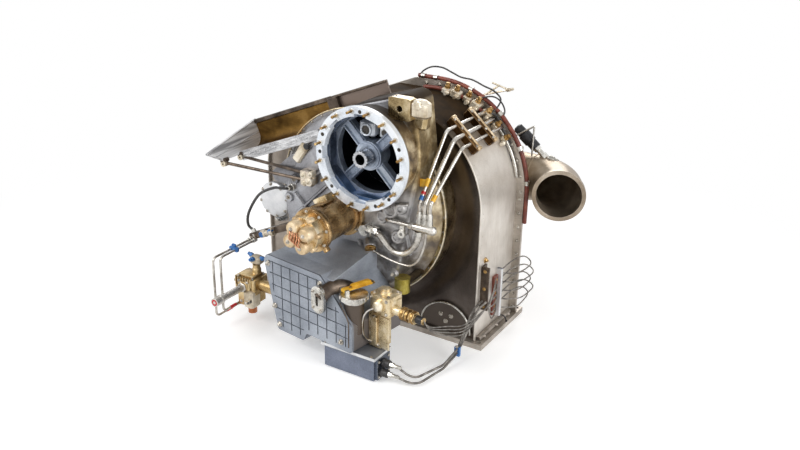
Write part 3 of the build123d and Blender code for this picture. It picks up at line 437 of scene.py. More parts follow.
# Every surface finish, by the name of the record's material slot or of a small fitting
LOOKS = {
    "wrapper_sheet": row((194, 186, 176), (212, 205, 196), (227, 221, 213), 0.55, (0.36, 0.5), mottle=7, grain=700,
        stretch=(1, 1, 0.04), bump=0.08, wear=(230, 224, 216), adjust=crown_shade_and_streaks),
    "dark_sheet": row((74, 65, 60), (92, 83, 77), (114, 105, 98), 0.8, (0.3, 0.42), 6, 400, bump=0.08,
        wear=(150, 140, 130), adjust=front_light),
    "plain_steel": row((140, 131, 121), (174, 165, 155), (198, 190, 180), 0.7, (0.34, 0.5), mottle=11, grain=600,
        stretch=(0.05, 1, 1), bump=0.1, wear=(220, 214, 206), adjust=cover_shade),
    "gold_alloy": row((110, 92, 62), (166, 146, 108), (214, 198, 164), rough=(0.24, 0.4), mottle=20,
        wear=(236, 224, 196), adjust=grey_left),
    "cast_alloy": row((120, 119, 122), (156, 156, 160), (186, 187, 191), 0.8, (0.36, 0.54), 10, 320, bump=0.3,
        wear=(222, 222, 224), adjust=housing_tint_and_shade),
    "ring_paint": row((212, 219, 229), (232, 238, 245), (245, 248, 252), 0.2, (0.24, 0.36), 12, 600, bump=0.06,
        wear=(250, 250, 252), adjust=barrel_tint_and_shade),
    "spider_paint": row((118, 128, 144), (154, 164, 180), (186, 195, 208), 0.55, (0.26, 0.4), 16, 400, bump=0.2,
        wear=(210, 216, 224)),
    # The liner's dark blue-grey is painted shade inside the ring's barrel.
    "liner_dark": row((40, 46, 58), (60, 69, 86), (94, 106, 126), 0.5, (0.24, 0.4), 14, 400, bump=0.2,
        wear=(200, 208, 220), adjust=blue_floor),
    "shaft_steel": row((140, 141, 144), (176, 178, 182), (208, 209, 212), rough=(0.18, 0.32), mottle=25,
        wear=(235, 235, 236)),
    "starter_bronze": row((116, 90, 56), (168, 137, 94), (212, 185, 142), 0.85, (0.2, 0.36), mottle=18, grain=420,
        bump=0.16, wear=(228, 206, 168)),
    "pale_gold": row((176, 150, 106), (220, 200, 160), (244, 234, 212), 0.75, (0.24, 0.38), mottle=22,
        wear=(250, 244, 228)),
    "sump_paint": row((130, 136, 146), (152, 158, 168), (174, 180, 189), 0.35, (0.4, 0.55), 9, 380, bump=0.28,
        wear=(214, 220, 228), adjust=groove_shade),
    "plated_steel": row((150, 147, 140), (192, 189, 182), (222, 220, 214), rough=(0.2, 0.36), mottle=30,
        wear=(244, 242, 238), adjust=end_plate),
    "lever_yellow": row((196, 138, 20), (226, 168, 36), (240, 192, 70), 0.1, (0.32, 0.46), 40, 500, bump=0.1,
        wear=(120, 100, 60)),
    "plug_olive": row((112, 98, 36), (158, 142, 62), (192, 178, 98), 0.9, (0.26, 0.4), 30, 500, bump=0.5,
        wear=(220, 206, 140), relief=knurl, adjust=plug_stub),
    "box_slate": row((84, 90, 104), (106, 113, 129), (126, 133, 150), 0.35, (0.34, 0.46), 8, 420, bump=0.14,
        wear=(176, 182, 194)),
    "lip_white": row((206, 207, 208), (226, 227, 228), (240, 240, 240), 0.3, (0.3, 0.42), 20, 500, bump=0.08,
        wear=(250, 250, 250), adjust=lip_top),
    "lead_sheath": row((92, 88, 84), (134, 129, 123), (170, 165, 158), 0.7, (0.34, 0.5), 60, 900, bump=0.7, edge=0.3,
        relief=braid),
    "clamp_blue": row((34, 82, 144), (52, 110, 178), (88, 146, 206), 0.2, (0.32, 0.46), 40, 500, bump=0.1,
        wear=(150, 190, 235)),
    "dark_bracket": row((54, 46, 40), (86, 75, 66), (122, 108, 95), 0.85, (0.3, 0.46), 22, 400, bump=0.14,
        wear=(172, 156, 138), adjust=pale_bracket),
    "strip_brown": row((78, 36, 28), (112, 54, 42), (142, 78, 62), 0.15, (0.36, 0.5), 36, 500, bump=0.2,
        wear=(176, 120, 100)),
    "control_gold": row((128, 102, 62), (180, 152, 104), (220, 198, 154), 0.85, (0.24, 0.4), mottle=18, bump=0.2,
        wear=(248, 238, 212), adjust=steel_stem),
    "plug_copper": row((160, 96, 62), (202, 140, 104), (226, 176, 142), rough=(0.22, 0.36), mottle=30,
        wear=(240, 206, 180)),
    "pipe_steel": row((146, 140, 132), (188, 183, 175), (216, 212, 205), rough=(0.18, 0.34), mottle=26, bump=0.06,
        edge=0.3),
    "clamp_bronze": row((48, 33, 18), (82, 58, 34), (112, 84, 52), rough=(0.32, 0.5), mottle=24, bump=0.2, edge=2.4,
        wear=(214, 178, 132), wear_amount=1.0),
    "valve_grey": row((124, 127, 134), (156, 160, 167), (184, 187, 193), 0.6, (0.34, 0.48), 18, 360, bump=0.25,
        wear=(214, 217, 222)),
    "cover_white": row((212, 213, 215), (230, 231, 233), (242, 242, 243), 0.3, (0.3, 0.44), 22, 420, bump=0.12,
        wear=(250, 250, 250)),
    "scoop_bronze": row((72, 50, 22), (122, 92, 46), (166, 132, 78), rough=(0.28, 0.44), mottle=9, grain=500,
        stretch=(0.08, 1, 1), bump=0.12, wear=(206, 176, 120)),
    "scoop_silver": row((172, 172, 174), (206, 206, 208), (230, 230, 230), 0.6, (0.26, 0.42), mottle=18, bump=0.2,
        wear=(242, 242, 242), adjust=brushed),
    "hot_steel": row((130, 119, 107), (166, 155, 142), (196, 187, 174), 0.8, (0.3, 0.46), mottle=8, grain=520,
        bump=0.1, wear=(210, 202, 190), adjust=heat_tint),
    "cream_cast": row((168, 152, 126), (212, 200, 178), (238, 230, 214), 0.6, (0.3, 0.46), 24, 380, bump=0.2,
        wear=(250, 246, 236)),
    "cream_tan": row((166, 136, 98), (206, 180, 140), (234, 214, 182), 0.55, (0.32, 0.46), 30, 380, bump=0.2,
        wear=(240, 216, 184)),
    "bolt_steel": row((126, 120, 110), (170, 164, 154), (206, 200, 190), rough=(0.22, 0.38), mottle=60, bump=0.1,
        edge=0.4, wear=(236, 232, 226)),
    "stud_brass": row((112, 84, 46), (164, 130, 80), (206, 176, 124), rough=(0.24, 0.4), mottle=60, bump=0.3,
        edge=0.4, wear=(236, 206, 150)),
    "black_rubber": row((14, 14, 16), (26, 26, 29), (44, 44, 48), 0.0, (0.4, 0.6), 40, 700, bump=0.3, edge=0.5),
    "wire_dark": row((34, 33, 33), (56, 54, 54), (84, 82, 80), 0.1, (0.36, 0.5), 50, 800, bump=0.25, edge=0.2),
    "band_red": row((160, 22, 28), (196, 36, 44), (220, 66, 72), 0.0, (0.34, 0.46), 60, 600, bump=0.1, edge=0.3),
    "window_dark": row((26, 22, 18), (44, 37, 28), (66, 56, 42), 0.2, (0.1, 0.2), 40, 500, bump=0.05, edge=0.4),
}
FINISH = {name: finish(name, *values, **settings) for name, (values, settings) in LOOKS.items()}

# The record's slot of a finish that only small fittings have
SLOT_OF = {
    "bolt_steel": "plated_steel", "stud_brass": "pale_gold", "liner_dark": "spider_paint", "band_red": "strip_brown",
    "window_dark": "lead_sheath", "black_rubber": "lead_sheath", "wire_dark": "lead_sheath",
}


def dress_nodes():
    """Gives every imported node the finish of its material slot."""
    for entry in frame["record"]["subparts"]:
        mesh = frame["nodes"][entry["node"]].data
        mesh.materials.clear()
        mesh.materials.append(FINISH[entry["material_slot"]])


def angles(count, shift=0):
    """Angles of a full turn in equal steps."""
    return [2 * math.pi * (i + shift) / count for i in range(count)]


def ray(angle, radius=1):
    """A step away from the Y axis."""
    return Vector((radius * math.cos(angle), 0, radius * math.sin(angle)))


def spokes(along, side, count):
    """Directions round an axis, the first one along a given side."""
    other = along.cross(side)
    return [side * math.cos(angle) + other * math.sin(angle) for angle in angles(count)]


def about_y(angle):
    return Matrix.Rotation(angle, 3, "Y")


class Piece:
    """Collects the faces of one piece, in millimetres."""
    made = []

    def __init__(self, name, look, slot=None, body=BODY):
        self.name, self.look, self.body = name, look, body
        self.slot = slot or SLOT_OF.get(look, look)
        self.mesh = bmesh.new()
        self.made.append(self)

    def skin(self, rings, closed=False):
        """Quads between rings of points: capped at both ends, or joined into a loop."""
        rows = [[self.mesh.verts.new(p) for p in ring] for ring in rings]
        pairs = list(zip(rows, rows[1:]))
        if closed:
            pairs.append((rows[-1], rows[0]))
        for first, second in pairs:
            for i in range(len(first)):
                j = (i + 1) % len(first)
                self.mesh.faces.new((first[i], first[j], second[j], second[i]))
        if not closed:
            self.mesh.faces.new(rows[0][::-1])
            self.mesh.faces.new(rows[-1])

    def turned(self, centre, axis, profile, sides=20):
        """Turned shape: the profile gives distance along the axis and radius."""
        centre, along = Vector(centre), Vector(axis).normalized()
        outs = spokes(along, along.orthogonal().normalized(), sides)
        self.skin([[centre + along * step + out * radius for out in outs] for step, radius in profile])

    def hoop(self, centre, axis, section, sides=64):
        """Closed ring: the section gives distance along the axis and radius."""
        centre, along = Vector(centre), Vector(axis).normalized()
        outs = spokes(along, along.orthogonal().normalized(), sides)
        self.skin([[centre + along * step + out * radius for step, radius in section] for out in outs], closed=True)

    def run(self, points, radius, sides=8):
        """Round bar along a line of points."""
        points = [Vector(p) for p in points]
        heads = [(b - a).normalized() for a, b in zip(points, points[1:])]
        heads.append(heads[-1])
        side = heads[0].orthogonal().normalized()
        rings = []
        for i, point in enumerate(points):
            along = (heads[i] + heads[max(i - 1, 0)]).normalized()
            side = (side - along * side.dot(along)).normalized()
            rings.append([point + out * radius for out in spokes(along, side, sides)])
        self.skin(rings)

    def bent(self, points, radius, sides=8):
        """Round bar along a smooth line through the points."""
        self.run(curved(points), radius, sides)

    def block(self, centre, size, chamfer=1.0, turn=None):
        """Box with cut edges, turned by a rotation matrix."""
        centre, turn = Vector(centre), turn or Matrix.Identity(3)
        half = [s / 2 for s in size]
        rings = []
        for z, inset in ((-half[2], chamfer), (chamfer - half[2], 0), (half[2] - chamfer, 0), (half[2], chamfer)):
            x, y = half[0] - inset, half[1] - inset
            outline = [(x, y - chamfer), (x - chamfer, y), (chamfer - x, y), (-x, y - chamfer),
                       (-x, chamfer - y), (chamfer - x, -y), (x - chamfer, -y), (x, chamfer - y)]
            rings.append([centre + turn @ Vector((a, b, z)) for a, b in outline])
        self.skin(rings)

    def holed(self, centre, half, hole, depth, sides=32):
        """Upright plate with a round hole through it, its front face at the centre."""
        centre, back, rings = Vector(centre), Vector((0, depth, 0)), []
        for angle in angles(sides, 0.5):
            out = ray(angle)
            outer = centre + out * min(half[0] / abs(out.x), half[1] / abs(out.z))
            inner = centre + out * hole
            rings.append([inner, outer, outer + back, inner + back])
        self.skin(rings, closed=True)

    def bolt(self, centre, axis, size, stub=True):
        """Washer, six-sided head and the end of the thread."""
        centre, axis = Vector(centre), Vector(axis).normalized()
        self.turned(centre, axis, [(0, 1.4 * size), (0.22 * size, 1.4 * size), (0.3 * size, 1.25 * size)], 18)
        seat = centre + axis * 0.28 * size
        self.turned(seat, axis, [(0, size), (0.62 * size, size), (0.82 * size, 0.78 * size)], 6)
        if stub:
            self.turned(seat, axis, [(0, 0.5 * size), (1.25 * size, 0.5 * size), (1.4 * size, 0.38 * size)], 10)

    def bolts(self, places, axis, size, stub=True):
        for place in places:
            self.bolt(place, axis, size, stub)

    def settle(self):
        """Makes the object, with smooth faces and sharp edges, and lets it ride on its body."""
        bmesh.ops.recalc_face_normals(self.mesh, faces=self.mesh.faces)
        for face in self.mesh.faces:
            face.smooth = True
        for line in self.mesh.edges:
            line.smooth = line.calc_face_angle(math.pi) < SHARP
        bmesh.ops.scale(self.mesh, vec=(MM, MM, MM), verts=self.mesh.verts)
        data = bpy.data.meshes.new(self.name)
        self.mesh.to_mesh(data)
        self.mesh.free()
        data.materials.append(FINISH[self.look])
        piece = bpy.data.objects.new(self.name, data)
        bpy.context.scene.collection.objects.link(piece)
        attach(piece, self.body)
        return piece


def by(place, x, y, z):
    """A place beside another one."""
    return place + Vector((x, y, z))


def band(half, inner, outer):
    """Section of a plain hoop."""
    return [(-half, inner), (-half, outer), (half, outer), (half, inner)]


def curved(points, steps=7):
    """Points of a smooth line through the given ones."""
    points = [Vector(p) for p in points]
    line = [2 * points[0] - points[1]] + points + [2 * points[-1] - points[-2]]
    result = []
    for a, b, c, d in zip(line, line[1:], line[2:], line[3:]):
        for i in range(steps):
            t = i / steps
            square, cube = 2 * a - 5 * b + 4 * c - d, 3 * b - a - 3 * c + d
            result.append(0.5 * (2 * b + (c - a) * t + square * t * t + cube * t ** 3))
    result.append(points[-1])
    return result


def round_places(count, radius, centre, start=0.0):
    """Points on a circle round the Y axis through a centre."""
    return [Vector(centre) + ray(angle + start, radius) for angle in angles(count)]


def on_axis(y):
    """A place on the turbine's axis."""
    return Vector((0, y, AXIS_Z))


def sump_at(x, y, z):
    """A place in the sump's turned frame."""
    c, s = math.cos(SUMP_YAW), math.sin(SUMP_YAW)
    return Vector((x * c + y * s, -300 - x * s + y * c, z))


def scoop_at(x, y, z):
    """A place in the scoop's tilted frame."""
    c, s = math.cos(SCOOP_TILT), math.sin(SCOOP_TILT)
    return Vector((-365 + x * c - z * s, -2.5 + y, 456 + x * s + z * c))


def clamp_at(x, y, z):
    """A place in the frame of the clamp bars on the right shoulder."""
    c, s = math.cos(CLAMP_TILT), math.sin(CLAMP_TILT)
    base_x, base_z = SHOULDER_X + CORNER * s, SHOULDER_Z + CORNER * c
    return Vector((base_x + x * c + z * s, y, base_z - x * s + z * c))


SUMP_TURN = Matrix.Rotation(-SUMP_YAW, 3, "Z")
SUMP_FORWARD = sump_at(0, -1, 0) - sump_at(0, 0, 0)
SUMP_RIGHT = sump_at(1, 0, 0) - sump_at(0, 0, 0)
SCOOP_TURN = about_y(-SCOOP_TILT)
SCOOP_UP = scoop_at(0, 0, 1) - scoop_at(0, 0, 0)
CLAMP_TURN = about_y(CLAMP_TILT)
CLAMP_OUT = clamp_at(0, 0, 1) - clamp_at(0, 0, 0)


def arch_point(degrees, offset, y):
    """A place round the right shoulder: the angle is measured from the crown."""
    radius, angle = CORNER + offset, math.radians(degrees)
    return Vector((SHOULDER_X + radius * math.sin(angle), y, SHOULDER_Z + radius * math.cos(angle)))


def arch_line(offset, y, pitch, low=34, cut=50):
    """Places along the whole arch, right foot to left foot, and their outward directions."""
    radius = CORNER + offset
    half = [(Vector((HALF_WIDTH + offset, y, z)), RIGHT) for z in range(low, SHOULDER_Z, pitch)]
    turns = int(radius * math.pi / 2 / pitch)
    for i in range(turns + 1):
        out = ray(math.pi / 2 * i / turns)
        half.append((Vector((SHOULDER_X, y, SHOULDER_Z)) + out * radius, out))
    crown = [(Vector((x, y, CROWN_Z + offset)), UP) for x in range(SHOULDER_X - pitch, -SHOULDER_X, -pitch)]
    left = [(Vector((-p.x, p.y, p.z)), Vector((-d.x, 0, d.z))) for p, d in reversed(half)]
    line = []
    for place, out in half + crown + left:
        over = (place - scoop_at(0, 0, cut)).dot(SCOOP_UP)
        line.append((place - SCOOP_UP * over, SCOOP_UP) if over > 0 else (place, out))
    return line


def ring_details():
    """Studs and washers of the generator's bolting ring, and dark discs as painted shade in its open holes."""
    thread = [(-10, 3.7)]
    for i in range(7):
        thread += [(i * 3.0, 3.7), (i * 3.0 + 1.5, 3.2)]
    thread += [(21, 3.7), (22.5, 2.6)]
    studs = Piece("ring_studs", "stud_brass")
    seats = Piece("ring_washers", "plated_steel")
    slots = Piece("ring_holes", "window_dark")
    for place in round_places(RING_STUDS, 124, PAD, math.pi / RING_STUDS):
        studs.turned(place, TOWARDS, thread, 12)
        seats.turned(place, TOWARDS, [(0, 7), (1.2, 7), (1.6, 6.2)], 16)
    # Dark discs in the open holes are painted shade.
    for i, place in enumerate(round_places(RING_STUDS, 123, PAD)):
        if i in OPEN_HOLES:
            slots.turned(place, TOWARDS, [(-2, 5), (0.3, 5), (0.4, 4)], 16)


def pickup_details():
    """The small white box between two spokes, and its dark windows."""
    corner = by(PAD, -14, 64, 66)
    mouth = by(corner, 0, -13, -2)
    box = Piece("pickup_box", "ring_paint")
    box.block(corner, (46, 26, 40), 5)
    box.hoop(mouth, TOWARDS, [(0, 12), (5, 12), (6, 14), (5, 16), (0, 17)], 28)
    box.block(by(PAD, 36, 66, 62), (30, 22, 30), 4)
    hole = Piece("pickup_window", "window_dark")
    hole.turned(mouth, TOWARDS, [(-1, 12.2), (1.5, 12.2), (1.5, 8)], 24)
    hole.turned(by(PAD, 36, 55, 62), TOWARDS, [(-1, 8), (0.6, 8), (0.6, 6)], 24)


def spider_details():
    """Eight-sided lining of the ring, dark as painted shade inside the barrel, and the webs beside the spokes."""
    eighth = math.pi / 8
    rings = []
    for angle in angles(64):
        inner = 105 / math.cos((angle + eighth) % (2 * eighth) - eighth)
        section = ((inner, 20), (114.5, 20), (114.5, 49), (inner, 49))
        rings.append([by(PAD + ray(angle) * radius, 0, y, 0) for radius, y in section])
    Piece("pad_liner", "liner_dark").skin(rings, closed=True)
    webs = Piece("spoke_webs", "spider_paint")
    for i in range(4):
        turn = about_y(-(math.pi / 4 + math.pi / 2 * i))
        for side in (-1, 1):
            webs.block(by(PAD + turn @ Vector((70, 0, side * 10.5)), 0, 48, 0), (62, 7, 5), 1.2, turn)
    webs.hoop(by(PAD, 0, 38, 0), TOWARDS, [(0, 26), (0, 35), (3, 34), (3, 26)], 40)


def starter_details():
    """Bolts, clamp band, terminal lobes and wires of the starter."""
    bolts = Piece("starter_bolts", "bolt_steel")
    for count, radius, y, start, size in ((6, 56, -142, 0.4, 4.2), (8, 52, -287, 0.2, 3.4), (4, 27, -349, 0.5, 4)):
        bolts.bolts(round_places(count, radius, by(STARTER, 0, y, 0), start), TOWARDS, size)
    strap = Piece("starter_band", "starter_bronze")
    strap.hoop(by(STARTER, 0, -276, 0), TOWARDS, [(-8, 56), (-8, 58), (-3, 60), (3, 60), (8, 58), (8, 56)], 48)
    strap.hoop(by(STARTER, 0, -150, 0), TOWARDS, band(4, 50, 53), 48)
    strap.block(by(STARTER, 42, -276, -44), (16, 18, 12), 2, about_y(0.8))
    strap.block(by(STARTER, -18, -208, 47), (44, 52, 5), 1.5, about_y(-0.36))
    lobes = Piece("starter_lobes", "cream_tan", "pale_gold")
    for place in round_places(4, 27, by(STARTER, 0, -316, 0), 0.5):
        lobes.turned(place, TOWARDS, [(0, 19), (24, 19), (30, 16.5), (33, 11), (33.5, 3)], 32)
    lobes.block(by(STARTER, 0, -326, 0), (34, 20, 34), 4)
    for place in round_places(6, 44, by(STARTER, 0, -300, 0), 0.1):
        lobes.turned(place, TOWARDS, [(0, 8), (16, 8), (19, 6), (20, 2)], 18)
    wires = Piece("starter_wires", "plug_copper")
    for i in range(5):
        x, z = -16 + 7 * i, 8 - 4 * i
        wires.bent([by(STARTER, x + across, y, z + rise) for across, y, rise in STARTER_WIRE], 1.9)


def sight_outline(radius, lift, count, shift=0):
    """Long round outline of the sight glass, in the sump's face."""
    middle_x, middle_z = SIGHT_GLASS
    outline = []
    for angle in angles(count, shift):
        rise = lift if math.sin(angle) >= 0 else -lift
        outline.append((middle_x + radius * math.cos(angle), middle_z + rise + radius * math.sin(angle)))
    return outline


def sump_details():
    """Bolts and sight glass of the oil sump, the filler's grips and the face's bead."""
    bolts = Piece("sump_bolts", "bolt_steel")
    for x, z in ((-112, 118), (132, 97), (-134, 238), (60, 240), (-96, 66)):
        bolts.turned(sump_at(x, 0, z), SUMP_FORWARD, [(0, 8), (2, 8), (3, 7)], 20)
        bolts.bolt(sump_at(x, -3, z), SUMP_FORWARD, 4.6)
    bolts.bolts([sump_at(x, -26, z) for z in (183, 229) for x in (59, 85)], SUMP_FORWARD, 3.2)
    glass = Piece("sight_window", "window_dark")
    glass.skin([[sump_at(x, y, z) for x, z in sight_outline(4.3, 12.5, 24)] for y in (-21, -23.5)])
    line = ((74, -15, 210), (80, -4, 224), (90, 16, 233), (100, 42, 230), (108, 66, 214), (112, 84, 190))
    Piece("sight_elbow", "dark_bracket").bent([sump_at(*place) for place in line], 19, 24)
    rings = []
    for (x0, z0), (x1, z1) in zip(sight_outline(15, 16, 40, 0.5), sight_outline(22, 16, 40, 0.5)):
        rings.append([sump_at(x0, -25, z0), sump_at(x1, -24, z1), sump_at(x1, -15, z1), sump_at(x0, -15, z0)])
    Piece("sight_flange", "plated_steel").skin(rings, closed=True)
    cap = Piece("filler_grips", "plated_steel")
    for angle in angles(14):
        place = sump_at(146 + 36 * math.cos(angle), 34 + 36 * math.sin(angle), 221)
        cap.block(place, (5, 7, 11), 1.2, SUMP_TURN @ Matrix.Rotation(angle, 3, "Z"))
    cap.hoop(sump_at(146, 34, 212), UP, [(-4, 26), (-4, 30), (2, 31), (2, 26)], 36)
    edge = Piece("sump_bead", "dark_bracket")
    edge.run([sump_at(x, -0.4, z) for x, z in ((128, 209), (150, 178), (158, 160), (158, 90))], 1.6)


def lever_details():
    """Rivets, a dark tip and the grip of the yellow lever."""
    pin = sump_at(126, 20, 233.8)
    along = Vector((math.cos(LEVER_YAW), math.sin(LEVER_YAW), 0))
    turn = Matrix.Rotation(LEVER_YAW, 3, "Z")
    trim = Piece("lever_trim", "dark_bracket", body="filler_lever")
    for step in (18, 78):
        trim.turned(by(pin + along * step, 0, 0, 5.5), UP, [(0, 3.2), (1.0, 3.0), (1.8, 1.8)], 14)
    trim.block(by(pin + along * 84, 0, 0, 3), (9, 17.6, 5.8), 1.2, turn)
    grip = Piece("lever_grip", "lever_yellow", body="filler_lever")
    grip.block(by(pin + along * 50, 0, 0, 7), (58, 17, 11), 3, turn)


def valve_details():
    """Bolts, caps, tube and coupling rings of the valve block."""
    bolts = Piece("valve_bolts", "bolt_steel")
    face = ((176, 182), (226, 182), (176, 218), (226, 218), (176, 86), (200, 86), (188, 164))
    bolts.bolts([sump_at(x, 66, z) for x, z in face], SUMP_FORWARD, 3.4)
    bolts.bolts([sump_at(x, y, 226) for y in (76, 114) for x in (178, 224)], UP, 3.4)
    bolts.bolts([sump_at(207.7, 82, z) for z in (90, 125, 160)], SUMP_RIGHT, 3)
    cap = Piece("valve_cap", "pale_gold")
    cap.turned(sump_at(201, 66, 200), SUMP_FORWARD, [(0, 17), (6, 17), (8, 15), (12, 13), (13, 11)], 28)
    cap.turned(sump_at(201, 95, 226), UP, [(0, 15), (5, 15), (7, 12), (13, 12), (14, 10)], 20)
    cap.block(sump_at(188, 64, 124), (20, 6, 84), 2, SUMP_TURN)
    cap.block(sump_at(228, 98, 200), (18, 40, 36), 4, SUMP_TURN)
    line = ((196, 60, 196), (182, 44, 186), (172, 38, 164), (170, 38, 130), (174, 48, 102), (184, 66, 90))
    Piece("valve_tube", "pipe_steel").bent([sump_at(*place) for place in line], 2.4)
    nuts = Piece("coupling_rings", "stud_brass")
    for x in (268, 284, 299):
        nuts.hoop(sump_at(x, 87, 192), SUMP_RIGHT, band(3, 11, 17.2), 30)
    boot = Piece("coupling_boot", "black_rubber")
    boot.turned(sump_at(307, 87, 192), SUMP_RIGHT, [(0, 9.4), (3, 11), (14, 10.5), (21, 9.4)], 20)


def igniter_details():
    """Connector nuts and shells, screws and seams of the igniter box."""
    nuts = Piece("igniter_nuts", "plated_steel")
    shells = Piece("igniter_shells", "wire_dark")
    for y, z in ((-276, 48), (-284, 24)):
        nuts.turned((252, y, z), RIGHT, [(0, 7.5), (12, 7.5), (13, 6)], 6)
        nuts.turned((264, y, z), RIGHT, [(0, 5.2), (20, 5.2), (22, 4)], 16)
        shells.turned((232, y, z), RIGHT, [(0, 13), (5, 13), (6, 12)], 6)
        shells.turned((238, y, z), RIGHT, [(0, 11), (14, 11), (15, 9)], 20)
    screws = Piece("igniter_screws", "bolt_steel")
    screws.bolts([(232, y, z) for y in (-296, -250) for z in (14, 58)], RIGHT, 3, False)
    screws.bolts([(x, y, 74) for x in (74, 145, 216) for y in (-309, -237)], UP, 3, False)
    screws.bolt((352, -99.5, 46), TOWARDS, 3.2)
    seam = Piece("igniter_seams", "box_slate")
    seam.block((145, -306.4, 60), (150, 1.6, 3), 0.5)
    seam.block((145, -239.6, 60), (150, 1.6, 3), 0.5)
    seam.block((67.4, -273, 34), (1.6, 40, 36), 0.5)


def control_details():
    """Castings, fittings and bolts of the fuel control."""
    gold = Piece("control_fittings", "control_gold")
    gold.block((-255, -247, 120), (44, 6, 30), 2)
    gold.turned((-255, -246, 120), TOWARDS, [(0, 15), (10, 15), (12, 13)], 6)
    gold.turned((-255, -346, 120), TOWARDS, [(-6, 13.5), (0, 13.5), (1, 12.5)], 24)
    gold.block((-255, -214, 147), (50, 44, 8), 2)
    for i in range(7):
        gold.block((-283 + 9 * i, -246, 134), (3, 8, 26), 1)
    gold.turned((-240, -206, 150), UP, [(0, 13), (14, 13), (16, 11), (26, 11), (27, 9)], 24)
    pale = Piece("control_castings", "cream_cast", "control_gold")
    pale.block((-236, -236, 84), (34, 40, 54), 5)
    pale.block((-246, -196, 186), (36, 30, 26), 6)
    pale.turned((-262, -150, 244), (0.9, 0, 0.4), [(0, 11), (16, 11), (18, 8), (34, 8), (36, 12), (48, 12)], 16)
    steel = Piece("control_bolts", "bolt_steel")
    steel.bolts([(x, y, 143) for x in (-280, -230) for y in (-238, -190)], UP, 3.6)
    face = ((-282, -239.7, 104), (-228, -250, 104), (-270, -250, 136), (-240, -250, 136), (-268, -245.7, 70),
            (-242, -250, 70))
    steel.bolts(face, TOWARDS, 3.2)
    steel.turned((-292, -214, 112), -RIGHT, [(0, 10), (8, 10), (9, 8), (22, 6), (24, 6)], 6)
    steel.turned((-228, -255.5, 84), TOWARDS, [(0, 8), (8, 8), (9, 6), (18, 6)], 6)
    steel.turned((-262, -368.5, 120), BACKWARDS, [(1, 4), (2, 4)], 12)


def fuel_tube_details():
    """Nuts, blue clamp and red bands of the fuel control's tubes."""
    nuts = Piece("fuel_nuts", "plated_steel")
    for x in (-300, -286):
        nuts.turned((x, -150, 222), TOWARDS, [(0, 7), (12, 7), (13, 5.5), (20, 5)], 6)
    nuts.turned((-286, -214, 96), -UP, [(0, 7), (12, 7), (13, 5)], 6)
    nuts.turned((-280, -214, 42), RIGHT, [(0, 6.5), (12, 6.5)], 6)
    blue = Piece("fuel_clamp", "clamp_blue")
    blue.block((-293, -236, 222), (32, 12, 15), 3)
    blue.block((-293, -236, 233), (14, 8, 10), 2)
    for aim in ((-1, 0, 0.3), (1, 0, 0.2), (0, -1, 0.2)):
        blue.turned(Vector((-246, -196, 190)) + Vector(aim) * 15, aim, [(0, 7), (9, 7), (10, 5), (16, 5)], 6)
    for x, z in ((-258, 246), (-226, 262)):
        blue.turned((x, -150, z), TOWARDS, [(0, 9), (10, 9), (11, 7)], 6)
    red = Piece("fuel_bands", "band_red")
    for x, z in ((-300, 42), (-286, 56)):
        red.run([(x, -274, z), (x, -250, z)], 4.3, 16)


def air_valve_details():
    """Domed cover, bolts and bands of the air valve, and its thin hose."""
    cover = Piece("air_valve_dome", "cover_white")
    cover.turned(AIR_VALVE, TOWARDS, [(-16, 50), (0, 52), (3, 50), (6, 42), (10, 24), (11, 6)], 48)
    cover.block(by(AIR_VALVE, 44, 6, 34), (20, 20, 34), 3, about_y(0.5))
    Piece("air_valve_bolts", "bolt_steel").bolts(round_places(8, 46, by(AIR_VALVE, 0, -3, 0), 0.2), TOWARDS, 4)
    ends = Piece("hose_ends", "plated_steel")
    ends.hoop((-250, -74, 284), UP, band(5, 16, 18.5), 28)
    ends.hoop((-250, -74, 272), UP, band(3, 16, 19), 28)
    ends.turned((-160, -130, 404), TOWARDS, [(0, 11), (9, 11), (10, 9), (20, 7), (22, 5)], 6)
    ends.turned((-296, -139, 226), (-0.3, -0.1, 1), [(-4, 10), (9, 10), (10, 8), (22, 6), (24, 5)], 6)
    hose = Piece("thin_hose", "wire_dark")
    hose.bent([(-160, -148, 404), (-170, -160, 406), (-199, -166, 403), (-254, -164, 371), (-300, -158, 306),
               (-314, -148, 262), (-303, -141, 244)], 4, 14)


def scoop_details():
    """Folds, rivets and rails of the scoop and its end wall, and the strut fittings."""
    folds = Piece("end_wall_folds", "scoop_silver")
    folds.run([scoop_at(-0.8, 0, 77), scoop_at(-0.8, -229, 30)], 3.4, 10)
    folds.run([scoop_at(-0.8, -229, 30), scoop_at(-0.8, -177, -1)], 3.0, 10)
    folds.run([scoop_at(0.2, -4, 40), scoop_at(0.2, -204, 14)], 1.8, 10)
    rivets = Piece("scoop_rivets", "scoop_silver")
    for i in range(14):
        rivets.turned(scoop_at(14 + i * 20, -104, -8), TOWARDS, [(0, 3), (0.9, 2.8), (1.7, 1.5)], 12)
    rail = Piece("scoop_rail", "dark_bracket")
    rail.block(scoop_at(150, -4, 71), (300, 12, 13), 2, SCOOP_TURN)
    rail.block(scoop_at(395, -4, 73), (188, 10, 7), 1.5, SCOOP_TURN)
    rail.block(scoop_at(306, -10, 42), (34, 14, 62), 2, SCOOP_TURN)
    for y in STRUT_YS:
        rail.block(scoop_at(-3, y, -2), (20, 20, 12), 2, SCOOP_TURN)
        rail.bolt(scoop_at(-3, y - 10, -2), TOWARDS, 4)
    Piece("scoop_roll", "scoop_bronze").run([scoop_at(8, -8, 4), scoop_at(296, -8, 4)], 8, 16)
    ends = Piece("strut_ends", "cream_cast", "dark_bracket")
    for y in STRUT_YS:
        ends.hoop(scoop_at(-2.5, y - 9, -10.5), TOWARDS, [(-2, 3), (-2, 8.5), (4, 8.5), (4, 3)], 20)
    ends.block((-92, -142, 446), (34, 22, 44), 7)
    for x, z, radius in ((-104, 456, 11), (-86, 440, 13), (-80, 462, 9), (-102, 434, 9)):
        ends.turned((x, -140, z), TOWARDS, [(0, radius), (15, radius), (18, radius - 2)], 20)
        ends.bolt((x, -158, z), TOWARDS, 0.4 * radius)


